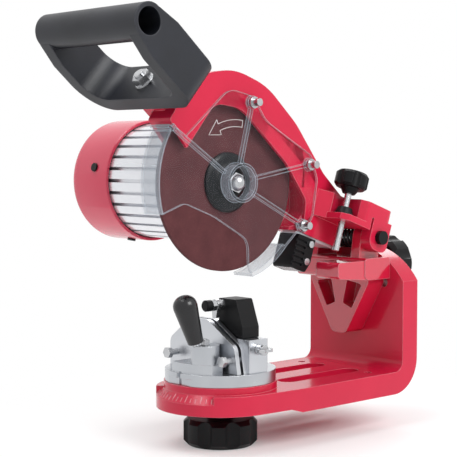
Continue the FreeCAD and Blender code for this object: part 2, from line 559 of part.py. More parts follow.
def arm_casting():
    r = HOOD_R
    hinge = ARM_REACH
    flare = hinge - FLARE_FROM
    # hood outline in hood radii, then the arm's back to the rear block and its underside
    rim = [(-0.93 * r, 0.3 * r, 3), (-0.87 * r, 0.5 * r, 20), (-0.65 * r, 0.86 * r, 30),
           (-0.33 * r, 1.02 * r, 60), (0.12 * r, 1.02 * r, 70), (0.62 * r, 0.81 * r, 70),
           (1.15 * r, 0.47 * r, 40), (flare, ARM_TOP_H, 8), (hinge - 15, ARM_TOP_H, 0), (hinge - 15, -6, 3),
           (flare, ARM_LOW_H, 4), (0.96 * r, ARM_LOW_H, 4), (0.4 * r, -0.35 * r, 0), (-0.3 * r, -0.1 * r, 0)]
    body = plate_x(rim, HOOD_BACK_X, HOOD_FRONT_X)
    disc = rod_x(HOOD_BACK_X, HOOD_BACK_X + HOOD_BACK_T, 0, 0, MOTOR_SEAT_R)
    plan = [(HOOD_FRONT_X - 4, hinge - 57, 0), (HOOD_FRONT_X, hinge - 57, 0), (LUG_X1, flare, 5),
            (LUG_X1, hinge + LUG_R * 0.6, 8), (REAR_X, hinge + REAR_BEHIND, 6), (-REAR_X, hinge + REAR_BEHIND, 6),
            (-LUG_X1, hinge + LUG_R * 0.6, 8), (-LUG_X1, flare, 5), (HOOD_BACK_X, hinge - 50, 0),
            (HOOD_BACK_X + 4, hinge - 50, 0)]
    rear = plate_z(plan, REAR_LOW_H, ARM_TOP_H)
    low = plate_z(plan, LEDGE_TOP_H - LEDGE_T, REAR_LOW_H + 1)
    low = low.common(box(-LUG_X1, LUG_X1, flare - 40, hinge - KNUCKLE_R - 3, -50, 50))
    ledge = [(HOOD_FRONT_X - 2, hinge - 48, 0), (LUG_X1 - 6, hinge - 48, 0), (LUG_X1, hinge - 42, 2),
             (LUG_X1, flare + 2, 0), (HOOD_FRONT_X - 2, flare + 2, 0)]
    parts = [disc, rear, low, plate_z(ledge, LEDGE_TOP_H - LEDGE_T, LEDGE_TOP_H)]
    for side_of in (-1, 1):
        x0, x1 = sorted((side_of * (KNUCKLE_X1 + FREE), side_of * LUG_X1))
        lug = [(hinge - LUG_R, REAR_LOW_H + 1, 0), (hinge - LUG_R, -LUG_R, LUG_R * 0.8), (hinge + LUG_R, -LUG_R, LUG_R * 0.6),
               (hinge + LUG_R, REAR_LOW_H + 1, 0)]
        parts.append(plate_x(lug, x0, x1))
    post = [handle_spot(FOOT_ALONG, POST_HALF) + (1,), handle_spot(FOOT_ALONG, -POST_HALF) + (1,),
            handle_spot(FOOT_ALONG - 24, -POST_HALF) + (0,), handle_spot(FOOT_ALONG - 24, POST_HALF) + (0,)]
    post_x = HANDLE_X - POST_WIDTH / 2
    parts.append(plate_x(post, post_x, post_x + POST_WIDTH))
    body = body.fuse(parts)
    # wheel chamber, its mouth in the front flange and the hollow back of the web
    chamber_x0, chamber_x1 = HOOD_BACK_X + HOOD_BACK_T, HOOD_FRONT_X - HOOD_FLANGE_T
    chamber = rod_x(chamber_x0, chamber_x1, 0, 0, WHEEL_R + HOOD_GAP)
    side_room = [(0.5 * r, 0.4 * r, 0), (0.98 * r, 0.27 * r, 8), (1.06 * r, 0.05 * r, 8), (0.98 * r, -0.12 * r, 8),
                 (0.5 * r, -0.45 * r, 0)]
    mouth = [(-0.72 * r, -0.05 * r, 0), (-0.46 * r, 0.63 * r, 16), (-0.12 * r, 0.7 * r, 30), (0.62 * r, 0.4 * r, 40),
             (1.0 * r, 0.14 * r, 10), (1.05 * r, -0.1 * r, 8), (0.9 * r, -0.3 * r, 0), (0.4 * r, -1.1 * r, 0),
             (-1.2 * r, -1.1 * r, 0), (-1.2 * r, -0.05 * r, 0)]
    hollow = [(1.12 * r, ARM_LOW_H + 6, 4), (flare - 6, ARM_LOW_H + 6, 4), (flare - 6, LEDGE_TOP_H, 4),
              (1.12 * r, 0.36 * r, 4)]
    cuts = [chamber, plate_x(side_room, chamber_x0, chamber_x1),
            plate_x(mouth, chamber_x1 - 1, HOOD_FRONT_X + 1),
            plate_x(hollow, HOOD_BACK_X - 1, HOOD_FRONT_X - 5),
            rod_x(-LUG_X1 - 1, LUG_X1 + 1, hinge, 0, HINGE_PIN_D / 2 + RUN),
            rod_x(HOOD_BACK_X - 1, chamber_x0 + 1, 0, 0, BEARING_R),
            rod_z(-50, 50, DEPTH_X, hinge - DEPTH_FROM_HINGE, DEPTH_ROD_D / 2 + RUN)]
    cuts.append(box(DEPTH_X - 9, DEPTH_X + 9, hinge - DEPTH_FROM_HINGE - 9, hinge - DEPTH_FROM_HINGE + 9,
                    LEDGE_TOP_H, 60))
    bolt_start = handle_spot(FOOT_ALONG - 18, 0)
    lean = math.radians(HANDLE_LEAN)
    cuts.append(Part.makeCylinder(HANDLE_BOLT_D / 2 + SEAT, 40, V(HANDLE_X, *bolt_start),
                                  V(0, -math.cos(lean), math.sin(lean))))
    for y, z in GUARD_SCREWS:
        cuts.append(rod_x(chamber_x1 - 1, HOOD_FRONT_X + 1, y, z, 2.5 + SEAT))
    for k in range(4):
        angle = math.radians(45 + 90 * k)
        cuts.append(rod_x(HOOD_BACK_X - 1, chamber_x0 + 1, ARM_BOLT_R * math.cos(angle),
                          ARM_BOLT_R * math.sin(angle), ARM_BOLT_D / 2 + RUN))
    return body.cut(cuts).removeSplitter()


NODES["arm_casting"] = on_arm(arm_casting())


# D-handle, built flat with its legs along +Y, then leaned onto the arm
def handle_place(shape):
    leaned = turn(shape, (0, 0, 0), (0, 0, 1), 180)
    leaned = turn(leaned, (0, 0, 0), (1, 0, 0), -HANDLE_LEAN)
    leaned.translate(V(HANDLE_X, HANDLE_BEAM[0], HANDLE_BEAM[1]))
    return on_arm(leaned)


def handle():
    half = HANDLE_WIDTH / 2
    leg, beam = HANDLE_LEG, HANDLE_BEAM_T / 2
    strap = HANDLE_STRAP / 2
    outer = [(-half, HANDLE_REACH, 0), (-half, -beam, HANDLE_CORNER), (half, -beam, HANDLE_SWEEP),
             (half, HANDLE_REACH, 0)]
    inner = [(leg - half, HANDLE_REACH + 1, 0), (leg - half, beam, HANDLE_CORNER - 6), (half - leg, beam, HANDLE_SWEEP - leg),
             (half - leg, HANDLE_REACH + 1, 0)]
    loop = plate_z(outer, -strap, strap).cut(plate_z(inner, -strap - 1, strap + 1))
    waist = [(-beam - 8, -strap - 1, 0), (HANDLE_REACH * 0.62, -strap - 1, 40), (HANDLE_REACH + 1, -GRIP_TUBE_R, 0),
             (HANDLE_REACH + 1, GRIP_TUBE_R, 0), (HANDLE_REACH * 0.62, strap + 1, 40), (-beam - 8, strap + 1, 0)]
    loop = loop.common(plate_x(waist, -half, half))
    foot = box(-POST_WIDTH / 2, POST_WIDTH / 2, FOOT_ALONG, 0, -POST_HALF, POST_HALF)
    tube = rod_x(-half, half, HANDLE_REACH, 0, GRIP_TUBE_R)
    body = loop.fuse([foot, tube])
    span = HANDLE_WIDTH - 2 * HANDLE_LEG
    cuts = [rod_x(-half - 1, half + 1, HANDLE_REACH, 0, GRIP_BORE_R)]
    groove_r, groove_d = 16.0, 1.8
    for k in range(4):
        x = span * (k - 1.5) / 4.7
        ring_y = HANDLE_REACH - GRIP_TUBE_R - groove_r + groove_d
        cuts.append(rod_z(-strap, strap, x, ring_y, groove_r))
    cuts.append(rod_y(FOOT_ALONG - 1, beam + 1, 0, 0, HANDLE_BOLT_D / 2 + RUN))
    return body.cut(cuts).removeSplitter()


NODES["handle"] = handle_place(handle())
HANDLE_WASHER_R = 8.5
HANDLE_WASHER_T = 1.6
HANDLE_NUT_AF = 13.0
HANDLE_NUT_T = 6.5
nut_along = HANDLE_BEAM_T / 2 + HANDLE_WASHER_T
bolt_end = nut_along + HANDLE_NUT_T + 2
NODES["handle_bolt"] = handle_place(rod_y(FOOT_ALONG - 18, bolt_end, 0, 0, HANDLE_BOLT_D / 2))
handle_nut = turn(hexagon_x(nut_along, nut_along + HANDLE_NUT_T, 0, 0, HANDLE_NUT_AF), (0, 0, 0), (0, 0, 1), 90)
handle_nut = handle_nut.fuse(rod_y(HANDLE_BEAM_T / 2, nut_along, 0, 0, HANDLE_WASHER_R))
NODES["handle_nut"] = handle_place(handle_nut.cut(
    rod_y(0, bolt_end + 1, 0, 0, HANDLE_BOLT_D / 2 + SEAT)).removeSplitter())


# Motor
def motor_housing():
    body = rod_x(MOTOR_BACK_X, HOOD_BACK_X, 0, 0, MOTOR_R)
    grooves = []
    for k in range(FIN_COUNT):
        groove = box(MOTOR_BACK_X - 1, FIN_FRONT_X, MOTOR_R - FIN_DEPTH, MOTOR_R + 2, -FIN_GROOVE / 2, FIN_GROOVE / 2)
        grooves.append(turn(groove, (0, 0, 0), (1, 0, 0), 360 * (k + 0.5) / FIN_COUNT))
    wall_x = HOOD_BACK_X - BEARING_W
    cuts = [rod_x(MOTOR_BACK_X - 1, wall_x, 0, 0, MOTOR_BORE_R + SEAT),
            rod_x(wall_x - 1, HOOD_BACK_X + 1, 0, 0, BEARING_R + SEAT)]
    for k in range(4):
        angle = math.radians(45 + 90 * k)
        cuts.append(rod_x(wall_x - 1, HOOD_BACK_X + 1, ARM_BOLT_R * math.cos(angle), ARM_BOLT_R * math.sin(angle),
                          ARM_BOLT_D / 2 + SEAT))
        cuts.append(cap_screw_part(k, CAP_SCREW_D / 2 + SEAT, MOTOR_BORE_R - 2, CAP_R))
    return body.cut(grooves).cut(cuts)


CAP_SCREW_D = 4.0
CAP_SCREW_HEAD_R = 3.6
CAP_SCREW_HEAD_T = 2.2


def cap_screw_part(k, radius, inner, outer):
    """Radial cylinder at one of the cap screws."""
    spoke = rod_y(inner, outer, CAP_SCREW_X, 0, radius)
    return turn(spoke, (0, 0, 0), (1, 0, 0), CAP_SCREW_ANGLE + 90 * k)


REAR_BEARING_X = -134.0
CAP_BOSS_R = 18.0
VENT_COUNT = 12
SWITCH_H = 31.0
SWITCH_LENGTH = 21.0
SWITCH_HEIGHT = 15.0
SWITCH_DEPTH = 14.0
BEZEL_LIP = 2.5
GLAND_R = 8.0


def motor_end_cap():
    inner = CAP_R - CAP_WALL
    floor_x = CAP_BACK_X + CAP_WALL + 1
    outer_edge = [(CAP_RIM_X, 0, 0), (CAP_RIM_X, CAP_R, 1), (CAP_BACK_X, CAP_R, CAP_ROUND), (CAP_BACK_X, 0, 0)]
    inner_edge = [(CAP_RIM_X + 1, 0, 0), (CAP_RIM_X + 1, inner, 0), (floor_x, inner, CAP_ROUND - CAP_WALL),
                  (floor_x, 0, 0)]
    solids = []
    for edge in (outer_edge, inner_edge):
        face = Part.Face(outline(edge, lambda p: V(p.x, p.y, 0)))
        solids.append(face.revolve(V(0, 0, 0), V(1, 0, 0), 360))
    body = solids[0].cut(solids[1])
    boss_front = REAR_BEARING_X + BEARING_W
    parts = [rod_x(CAP_BACK_X + 1, boss_front, 0, 0, CAP_BOSS_R)]
    for k in range(4):
        pillar = cap_screw_part(k, CAP_SCREW_D, MOTOR_R - FIN_DEPTH, inner + 1)
        parts.append(pillar.cut(rod_x(MOTOR_BACK_X - 5, CAP_RIM_X + 5, 0, 0, MOTOR_R + SEAT)))
    body = body.fuse(parts)
    cuts = [rod_x(REAR_BEARING_X, boss_front + 1, 0, 0, BEARING_R + SEAT)]
    for k in range(4):
        cuts.append(cap_screw_part(k, CAP_SCREW_D / 2 + SEAT, MOTOR_BORE_R, CAP_R + 5))
        cuts.append(cap_screw_part(k, CAP_SCREW_HEAD_R + SEAT, CAP_R - 0.6, CAP_R + 5))
    for k in range(VENT_COUNT):
        angle = 360 * k / VENT_COUNT
        if abs(math.sin(math.radians(angle))) < 0.9:
            vent = box(CAP_BACK_X - 1, floor_x + 1, CAP_BOSS_R + 4, CAP_R - CAP_ROUND - 3, -2, 2)
            cuts.append(turn(vent, (0, 0, 0), (1, 0, 0), angle))
    cuts.append(box(CAP_BACK_X - 1, floor_x + 1, -SWITCH_LENGTH / 2 - SEAT, SWITCH_LENGTH / 2 + SEAT,
                    SWITCH_H - SWITCH_HEIGHT / 2 - SEAT, SWITCH_H + SWITCH_HEIGHT / 2 + SEAT))
    cuts.append(rod_x(CAP_BACK_X - 1, floor_x + 1, 0, -SWITCH_H, GLAND_R - 2 + SEAT))
    return body.cut(cuts).removeSplitter()


NODES["motor_housing"] = on_arm(motor_housing())
NODES["motor_end_cap"] = on_arm(motor_end_cap())
cap_screws, arm_bolts = [], []
for k in range(4):
    shank = cap_screw_part(k, CAP_SCREW_D / 2, MOTOR_BORE_R + 1, CAP_R)
    head = cap_screw_part(k, CAP_SCREW_HEAD_R, CAP_R - 0.6, CAP_R - 0.6 + CAP_SCREW_HEAD_T)
    cap_screws.append(shank.fuse(head).removeSplitter())
    angle = math.radians(45 + 90 * k)
    y, z = ARM_BOLT_R * math.cos(angle), ARM_BOLT_R * math.sin(angle)
    head_x = HOOD_BACK_X + HOOD_BACK_T
    bolt = rod_x(HOOD_BACK_X - BEARING_W, head_x + 1, y, z, ARM_BOLT_D / 2)
    arm_bolts.append(bolt.fuse(rod_x(head_x, head_x + 3, y, z, ARM_BOLT_D * 0.85)).removeSplitter())
NODES["cap_screws"] = on_arm(Part.makeCompound(cap_screws))
NODES["motor_bolts"] = on_arm(Part.makeCompound(arm_bolts))

STATOR_X0 = -92.0
STATOR_X1 = -34.0
ROTOR_R = 24.5
AIR_GAP = 0.6
shaft_end_x = REAR_BEARING_X + 0.5
spindle_x = WHEEL_BACK_X - INNER_FLANGE_T
NUT_X = WHEEL_FACE_X + FLANGE_T
NUT_T = 6.0
NUT_AF = 15.0
spindle_end = NUT_X + NUT_T + 1
NODES["motor_stator"] = on_arm(rod_x(STATOR_X0, STATOR_X1, 0, 0, MOTOR_BORE_R).cut(
    rod_x(STATOR_X0 - 1, STATOR_X1 + 1, 0, 0, ROTOR_R + AIR_GAP)))
NODES["motor_rotor"] = on_arm(rod_x(STATOR_X0 + 2, STATOR_X1 - 2, 0, 0, ROTOR_R).cut(
    rod_x(STATOR_X0, STATOR_X1, 0, 0, SHAFT_D / 2 + SEAT)))
NODES["motor_shaft"] = on_arm(rod_x(shaft_end_x, spindle_x, 0, 0, SHAFT_D / 2).fuse(
    rod_x(spindle_x - 1, spindle_end, 0, 0, SPINDLE_D / 2)).removeSplitter())


def bearing(x0):
    """Ball bearing drawn as its two rings with the ball space between them filled by a cage ring."""
    ring = rod_x(x0, x0 + BEARING_W, 0, 0, BEARING_R).cut(rod_x(x0 - 1, x0 + BEARING_W + 1, 0, 0, SHAFT_D / 2 + RUN))
    lane = rod_x(x0 - 1, x0 + 1, 0, 0, BEARING_R - 2.4).cut(rod_x(x0 - 2, x0 + 2, 0, 0, SHAFT_D / 2 + 2.4))
    far = lane.copy()
    far.translate(V(BEARING_W, 0, 0))
    return ring.cut([lane, far])


NODES["front_bearing"] = on_arm(bearing(HOOD_BACK_X - BEARING_W))
NODES["rear_bearing"] = on_arm(bearing(REAR_BEARING_X))
FAN_X0 = -125.0
FAN_R = 44.0
FAN_BLADES = 9
FAN_BLADE_H = 8.0
fan_parts = [rod_x(FAN_X0, FAN_X0 + 11, 0, 0, 10)]
for k in range(FAN_BLADES):
    blade = box(FAN_X0 + 1, FAN_X0 + 2 + FAN_BLADE_H, 9, FAN_R - 2, -0.9, 0.9)
    fan_parts.append(turn(blade, (0, 0, 0), (1, 0, 0), 360 * k / FAN_BLADES))
fan = rod_x(FAN_X0, FAN_X0 + 2, 0, 0, FAN_R).fuse(fan_parts)
NODES["cooling_fan"] = on_arm(fan.cut(rod_x(FAN_X0 - 1, FAN_X0 + 12, 0, 0, SHAFT_D / 2 + SEAT)).removeSplitter())

# Switch and cable gland on the end cap's back
switch_in = CAP_BACK_X + SWITCH_DEPTH
well_l, well_h = SWITCH_LENGTH - 4, SWITCH_HEIGHT - 4
bezel = box(CAP_BACK_X, switch_in, -SWITCH_LENGTH / 2, SWITCH_LENGTH / 2, SWITCH_H - SWITCH_HEIGHT / 2,
            SWITCH_H + SWITCH_HEIGHT / 2)
lip_l, lip_h = SWITCH_LENGTH / 2 + BEZEL_LIP, SWITCH_HEIGHT / 2 + BEZEL_LIP
lip = plate_x([(-lip_l, SWITCH_H - lip_h, 2), (lip_l, SWITCH_H - lip_h, 2), (lip_l, SWITCH_H + lip_h, 2),
               (-lip_l, SWITCH_H + lip_h, 2)], CAP_BACK_X - 2, CAP_BACK_X)
well = box(CAP_BACK_X - 3, switch_in - 3, -well_l / 2, well_l / 2, SWITCH_H - well_h / 2, SWITCH_H + well_h / 2)
NODES["switch_bezel"] = on_arm(bezel.fuse(lip).cut(well).removeSplitter())
ROCKER_R = 16.0
ROCKER_PIVOT_X = CAP_BACK_X + 2.5
rocker_l, rocker_h = well_l - 1.2, well_h - 0.8
rocker = box(CAP_BACK_X - 3.4, ROCKER_PIVOT_X + 2, -rocker_l / 2, rocker_l / 2, SWITCH_H - rocker_h / 2,
             SWITCH_H + rocker_h / 2)
dish = Part.makeCylinder(ROCKER_R, rocker_h + 2, V(CAP_BACK_X - 2 - ROCKER_R, 0, SWITCH_H - rocker_h / 2 - 1), V(0, 0, 1))
NODES["switch_rocker"] = on_arm(rocker.cut(dish))
gland = [(CAP_BACK_X, GLAND_R - 4), (CAP_BACK_X, GLAND_R), (CAP_BACK_X - 4, GLAND_R), (CAP_BACK_X - 14, GLAND_R - 2.5),
         (CAP_BACK_X - 14, GLAND_R - 4)]
gland_neck = [(CAP_BACK_X + 6, GLAND_R - 4), (CAP_BACK_X + 6, GLAND_R - 2), (CAP_BACK_X - 1, GLAND_R - 2),
              (CAP_BACK_X - 1, GLAND_R - 4)]
cable_gland = turned_x(gland).fuse(turned_x(gland_neck)).removeSplitter()
cable_gland.translate(V(0, 0, -SWITCH_H))
NODES["cable_gland"] = on_arm(cable_gland)

# Wheel and its flanges
NODES["grinding_wheel"] = on_arm(rod_x(WHEEL_BACK_X, WHEEL_FACE_X, 0, 0, WHEEL_R).cut(
    rod_x(WHEEL_BACK_X - 1, WHEEL_FACE_X + 1, 0, 0, WHEEL_BORE_D / 2)))
SPIGOT_T = 2.0
bore = SPINDLE_D / 2 + SEAT
NODES["inner_flange"] = on_arm(turned_x([
    (spindle_x, bore), (spindle_x, INNER_FLANGE_R - 3), (spindle_x + 2, INNER_FLANGE_R), (WHEEL_BACK_X, INNER_FLANGE_R),
    (WHEEL_BACK_X, WHEEL_BORE_D / 2 - SEAT), (WHEEL_BACK_X + SPIGOT_T, WHEEL_BORE_D / 2 - SEAT),
    (WHEEL_BACK_X + SPIGOT_T, bore)]))
NODES["outer_flange"] = on_arm(turned_x([
    (WHEEL_FACE_X, bore), (WHEEL_FACE_X, FLANGE_R), (WHEEL_FACE_X + 2.2, FLANGE_R), (WHEEL_FACE_X + 3.5, FLANGE_R - 2),
    (WHEEL_FACE_X + 4.5, FLANGE_R - 9), (NUT_X, FLANGE_R - 12), (NUT_X, bore)]))
dome = Part.makeSphere(NUT_AF / 2 - 0.6, V(NUT_X + NUT_T - 1, 0, 0)).common(
    box(NUT_X + NUT_T - 1, NUT_X + 30, -20, 20, -20, 20))
dome_nut = hexagon_x(NUT_X, NUT_X + NUT_T, 0, 0, NUT_AF).fuse(dome)
NODES["spindle_nut"] = on_arm(dome_nut.cut(rod_x(NUT_X - 1, spindle_end + FREE, 0, 0, bore)).removeSplitter())


# Clear guard over the wheel's face
def on_circle(radius, angle, corner):
    return (radius * math.cos(math.radians(angle)), radius * math.sin(math.radians(angle)), corner)


LEFT_ARC = (163.0, 216.0)
RIGHT_ARC = (-57.0, -24.0)


def rim_corners(start, stop):
    """Outline corners that follow the guard's round rim between two angles."""
    half = (stop - start) / 2
    return [on_circle(GUARD_R, start, 0),
            on_circle(GUARD_R / math.cos(math.radians(half)), start + half, GUARD_R),
            on_circle(GUARD_R, stop, 0)]


def wheel_guard():
    back, front = HOOD_FRONT_X, HOOD_FRONT_X + GUARD_T
    g = GUARD_R
    (top_y, top_z), (right_y, right_z), (low_y, low_z) = GUARD_SCREWS
    edge = rim_corners(*LEFT_ARC)
    edge += [(-0.57 * g, -0.4 * g, 10), (-0.16 * g, -0.41 * g, 60), (0.36 * g, -0.5 * g, 14),
             (0.46 * g, -0.76 * g, 4)]
    edge += rim_corners(*RIGHT_ARC)
    edge += [(low_y - 2, low_z - 6.5, 4), (low_y + 7, low_z - 5.5, 5), (low_y + 12, low_z + 12, 12), (right_y + 16, right_z - 8, 12),
             (right_y + 2, right_z + 9, 8), (top_y + 22, top_z - 8, 30), (top_y + 2, top_z + 6, 8),
             (-0.38 * g, 0.87 * g, 18), (-0.78 * g, 0.21 * g, 2)]
    body = plate_x(edge, back, front)
    parts = [sector_x(g - GUARD_T, g, LEFT_ARC[0] + 4, LEFT_ARC[1], GUARD_SKIRT_X, front),
             sector_x(g - GUARD_T, g, *RIGHT_ARC, GUARD_SKIRT_X, front),
             rod_x(back, GUARD_RING_X, 0, 0, GUARD_RING_R)]
    tab_y, tab_z = GUARD_TAB
    parts.append(box(GUARD_SKIRT_X, front, tab_y - 4, tab_y + 4, tab_z - 1, tab_z + GUARD_T - 1))
    for y, z in GUARD_SCREWS:
        parts.append(rod_x(back, front + GUARD_RIB, y, z, 5.5))
    for y, z in GUARD_SCREWS + (GUARD_TAB,):
        rib = box(back, front + GUARD_RIB, GUARD_RING_R - 1, math.hypot(y, z) - 2, -GUARD_RIB / 2, GUARD_RIB / 2)
        parts.append(turn(rib, (0, 0, 0), (1, 0, 0), math.degrees(math.atan2(z, y))))
    body = body.fuse(parts)
    cuts = [rod_x(back - 1, GUARD_RING_X + 1, 0, 0, GUARD_RING_R - GUARD_T)]
    for y, z in GUARD_SCREWS:
        cuts.append(rod_x(back - 1, front + GUARD_RIB + 1, y, z, 2.5 + SEAT))
    return body.cut(cuts).removeSplitter()


NODES["wheel_guard"] = on_arm(wheel_guard())
guard_screws = []
seat_x = HOOD_FRONT_X + GUARD_T + GUARD_RIB
for y, z in GUARD_SCREWS:
    screw = rod_x(HOOD_FRONT_X - HOOD_FLANGE_T, seat_x + 1, y, z, 2.5)
    guard_screws.append(screw.fuse([rod_x(seat_x, seat_x + 2, y, z, 4.8),
                                    rod_x(seat_x + 1, seat_x + 8, y, z, 3.2)]).removeSplitter())
NODES["guard_screws"] = on_arm(Part.makeCompound(guard_screws))

# Work lamp on a strip under the arm
strip_low = ARM_LOW_H - LAMP_STRIP_T
lamp_low = strip_low - LAMP_H
strip = [(LAMP_START, ARM_LOW_H - LAMP_STRIP_T, 1), (ARM_REACH - FLARE_FROM - 1, strip_low, 1),
         (ARM_REACH - FLARE_FROM - 1, ARM_LOW_H, 0), (LAMP_START, ARM_LOW_H, 0)]
NODES["lamp_bracket"] = on_arm(plate_x(strip, LAMP_X0 + 2, HOOD_FRONT_X - 1))
lamp_end = LAMP_START + LAMP_LENGTH
lamp = plate_x([(LAMP_START, lamp_low, 3), (lamp_end - 4, lamp_low, 3), (lamp_end, lamp_low + 9, 3),
                (lamp_end, strip_low, 0), (LAMP_START, strip_low, 0)], LAMP_X0, LAMP_X1)
grooves = []
for k in range(5):
    groove_h = lamp_low + LAMP_H * (k + 1) / 6
    grooves.append(box(LAMP_X1 - 1.5, LAMP_X1 + 1, LAMP_START - 1, LAMP_START + LAMP_LENGTH * 0.55,
                       groove_h - 1.1, groove_h + 1.1))
LAMP_SCREW_SPOTS = ((lamp_end - 5, strip_low - 5), (lamp_end - 6, lamp_low + 9))
lens_x0, lens_x1 = LAMP_X0 + 2, LAMP_X1 - 2
lens_y0, lens_y1 = LAMP_START + 2, lamp_end - 6
well = box(lens_x0, lens_x1, lens_y0, lens_y1, lamp_low - 1, lamp_low + LENS_T)
lamp = lamp.cut(grooves + [well] + [rod_x(LAMP_X1 - 6, LAMP_X1 + 1, y, z, 1.5 + SEAT) for y, z in LAMP_SCREW_SPOTS])
NODES["lamp_housing"] = on_arm(lamp)
NODES["lamp_lens"] = on_arm(box(lens_x0, lens_x1, lens_y0, lens_y1, lamp_low, lamp_low + LENS_T))
lamp_screws = []
for y, z in LAMP_SCREW_SPOTS:
    screw = rod_x(LAMP_X1 - 6, LAMP_X1 + 1, y, z, 1.5)
    lamp_screws.append(screw.fuse(rod_x(LAMP_X1, LAMP_X1 + 2, y, z, 3)).removeSplitter())
NODES["lamp_screws"] = on_arm(Part.makeCompound(lamp_screws))

# Depth stop screw
depth_y = ARM_REACH - DEPTH_FROM_HINGE
knob_top = DEPTH_KNOB_H + DEPTH_KNOB_T
NODES["depth_rod"] = on_arm(rod_z(DEPTH_TIP_H, knob_top - 3, DEPTH_X, depth_y, DEPTH_ROD_D / 2))
depth_knob = lobed_knob(DEPTH_KNOB_R, DEPTH_KNOB_T, 6, 5.0)
depth_knob = depth_knob.fuse(Part.makeCone(5.5, 8.5, 5, V(0, 0, -5), V(0, 0, 1)))
depth_knob = depth_knob.cut(rod_z(-6, DEPTH_KNOB_T - 3, 0, 0, DEPTH_ROD_D / 2 + SEAT)).removeSplitter()
depth_knob.translate(V(DEPTH_X, depth_y, DEPTH_KNOB_H))
NODES["depth_knob"] = on_arm(depth_knob)
LOCK_NUT_R = 8.5
LOCK_NUT_T = 7.0
lock_nut = Part.makeCone(LOCK_NUT_R, LOCK_NUT_R * 0.72, LOCK_NUT_T, V(DEPTH_X, depth_y, LEDGE_TOP_H + FACE_GAP),
                         V(0, 0, 1))
notches = []
for k in range(10):
    angle = 2 * math.pi * k / 10
    notches.append(rod_z(LEDGE_TOP_H - 1, LEDGE_TOP_H + 20, DEPTH_X + (LOCK_NUT_R + 0.6) * math.cos(angle),
                         depth_y + (LOCK_NUT_R + 0.6) * math.sin(angle), 1.3))
lock_nut = lock_nut.cut(notches + [rod_z(LEDGE_TOP_H - 1, LEDGE_TOP_H + 20, DEPTH_X, depth_y, DEPTH_ROD_D / 2 + RUN)])
NODES["depth_lock_nut"] = on_arm(lock_nut)


# Chain vise: turntable, stud and lock knob
def vise_turntable():
    low = PLATFORM_SEAT_H + FACE_GAP
    body = rod_z(low, TABLE_TOP_Z, 0, VISE_Y, TABLE_R)
    pad = box(CAM_X - 28, CAM_X + CAM_R, VISE_Y - TABLE_R, CAM_Y + CAM_R - 2, TABLE_TOP_Z - 1, CAM_PAD_TOP_Z)
    body = body.fuse(pad.common(rod_z(0, 100, 0, VISE_Y, TABLE_R - 2)))
    flat = box(-TABLE_R, TABLE_R, VISE_Y - TABLE_R - 1, VISE_Y - TABLE_FLAT_Y, low - 1, TABLE_TOP_Z - 4)
    pointer = [(-3, VISE_Y - TABLE_FLAT_Y - 3, 0), (0, VISE_Y - TABLE_FLAT_Y + 4, 0), (3, VISE_Y - TABLE_FLAT_Y - 3, 0)]
    cuts = [flat, plate_z(pointer, low - 1, TABLE_TOP_Z + 1), rod_z(low - 1, TABLE_TOP_Z - 2, 0, VISE_Y, VISE_STUD_D / 2 + SEAT),
            rod_z(TABLE_TOP_Z - 5, CAM_PAD_TOP_Z + 1, CAM_X, CAM_Y, CAM_STUD_D / 2 + SEAT)]
    return body.cut(cuts).removeSplitter()


NODES["vise_turntable"] = vise_turntable()
knob_low = -VISE_KNOB_DROP - VISE_KNOB_H
NODES["vise_stud"] = rod_z(knob_low + 4, TABLE_TOP_Z - 2, 0, VISE_Y, VISE_STUD_D / 2)
vise_knob = lobed_knob(VISE_KNOB_R, VISE_KNOB_H, KNOB_LOBES, 9.0)
vise_knob.translate(V(0, VISE_Y, knob_low))
washer_top = PLATFORM_LIFT - FACE_GAP / 2
hub_top = PLATFORM_LIFT - WASHER_T - FACE_GAP
vise_knob = vise_knob.fuse(rod_z(-VISE_KNOB_DROP - 1, hub_top, 0, VISE_Y, KNOB_HUB_R))
NODES["vise_lock_knob"] = vise_knob.cut(
    rod_z(knob_low + 4 - FREE, PLATFORM_LIFT, 0, VISE_Y, VISE_STUD_D / 2 + RUN)).removeSplitter()
NODES["vise_washer"] = rod_z(washer_top - WASHER_T, washer_top, 0, VISE_Y, KNOB_HUB_R + 2).cut(
    rod_z(washer_top - WASHER_T - 1, washer_top + 1, 0, VISE_Y, VISE_STUD_D / 2 + RUN))

# Jaws and their guide bolts
JAW_FLAT_LEFT = -16.0
JAW_FLAT_RIGHT = 6.0


def jaw(y0, low):
    """Arched jaw plate with its shoulders rounded down to the table."""
    edge = [(-JAW_HALF_LENGTH, low, 0), (-JAW_HALF_LENGTH, JAW_SHOULDER_Z, 8), (JAW_FLAT_LEFT, JAW_TOP_Z, 10),
            (JAW_FLAT_RIGHT, JAW_TOP_Z, 10), (JAW_HALF_LENGTH - 4, JAW_SHOULDER_Z, 8), (JAW_HALF_LENGTH, low, 0)]
    return plate_y(edge, y0, y0 + JAW_T)


fixed_y = JAW_BACK_Y - JAW_T
moving_y = fixed_y - CHAIN_GAP - JAW_T
fixed_holes, moving_holes, jaw_bolts = [], [], []
JAW_BOLT_HEAD_T = 4.0
JAW_BOLT_SHANK = 7.0
for side_of in (-1, 1):
    x = side_of * JAW_BOLT_X
    head_y = moving_y - JAW_BOLT_SHANK
    fixed_holes.append(rod_y(fixed_y - 1, JAW_BACK_Y + 1, x, JAW_BOLT_Z, JAW_BOLT_D / 2 + SEAT))
    moving_holes.append(rod_y(moving_y - 1, moving_y + JAW_T + 1, x, JAW_BOLT_Z, JAW_BOLT_D / 2 + RUN))
    head = turn(hexagon_x(-JAW_BOLT_HEAD_T, 0, 0, 0, 8.0), (0, 0, 0), (0, 0, 1), 90)
    head.translate(V(x, head_y, JAW_BOLT_Z))
    jaw_bolts.append(rod_y(head_y - 1, JAW_BACK_Y, x, JAW_BOLT_Z, JAW_BOLT_D / 2).fuse(head).removeSplitter())
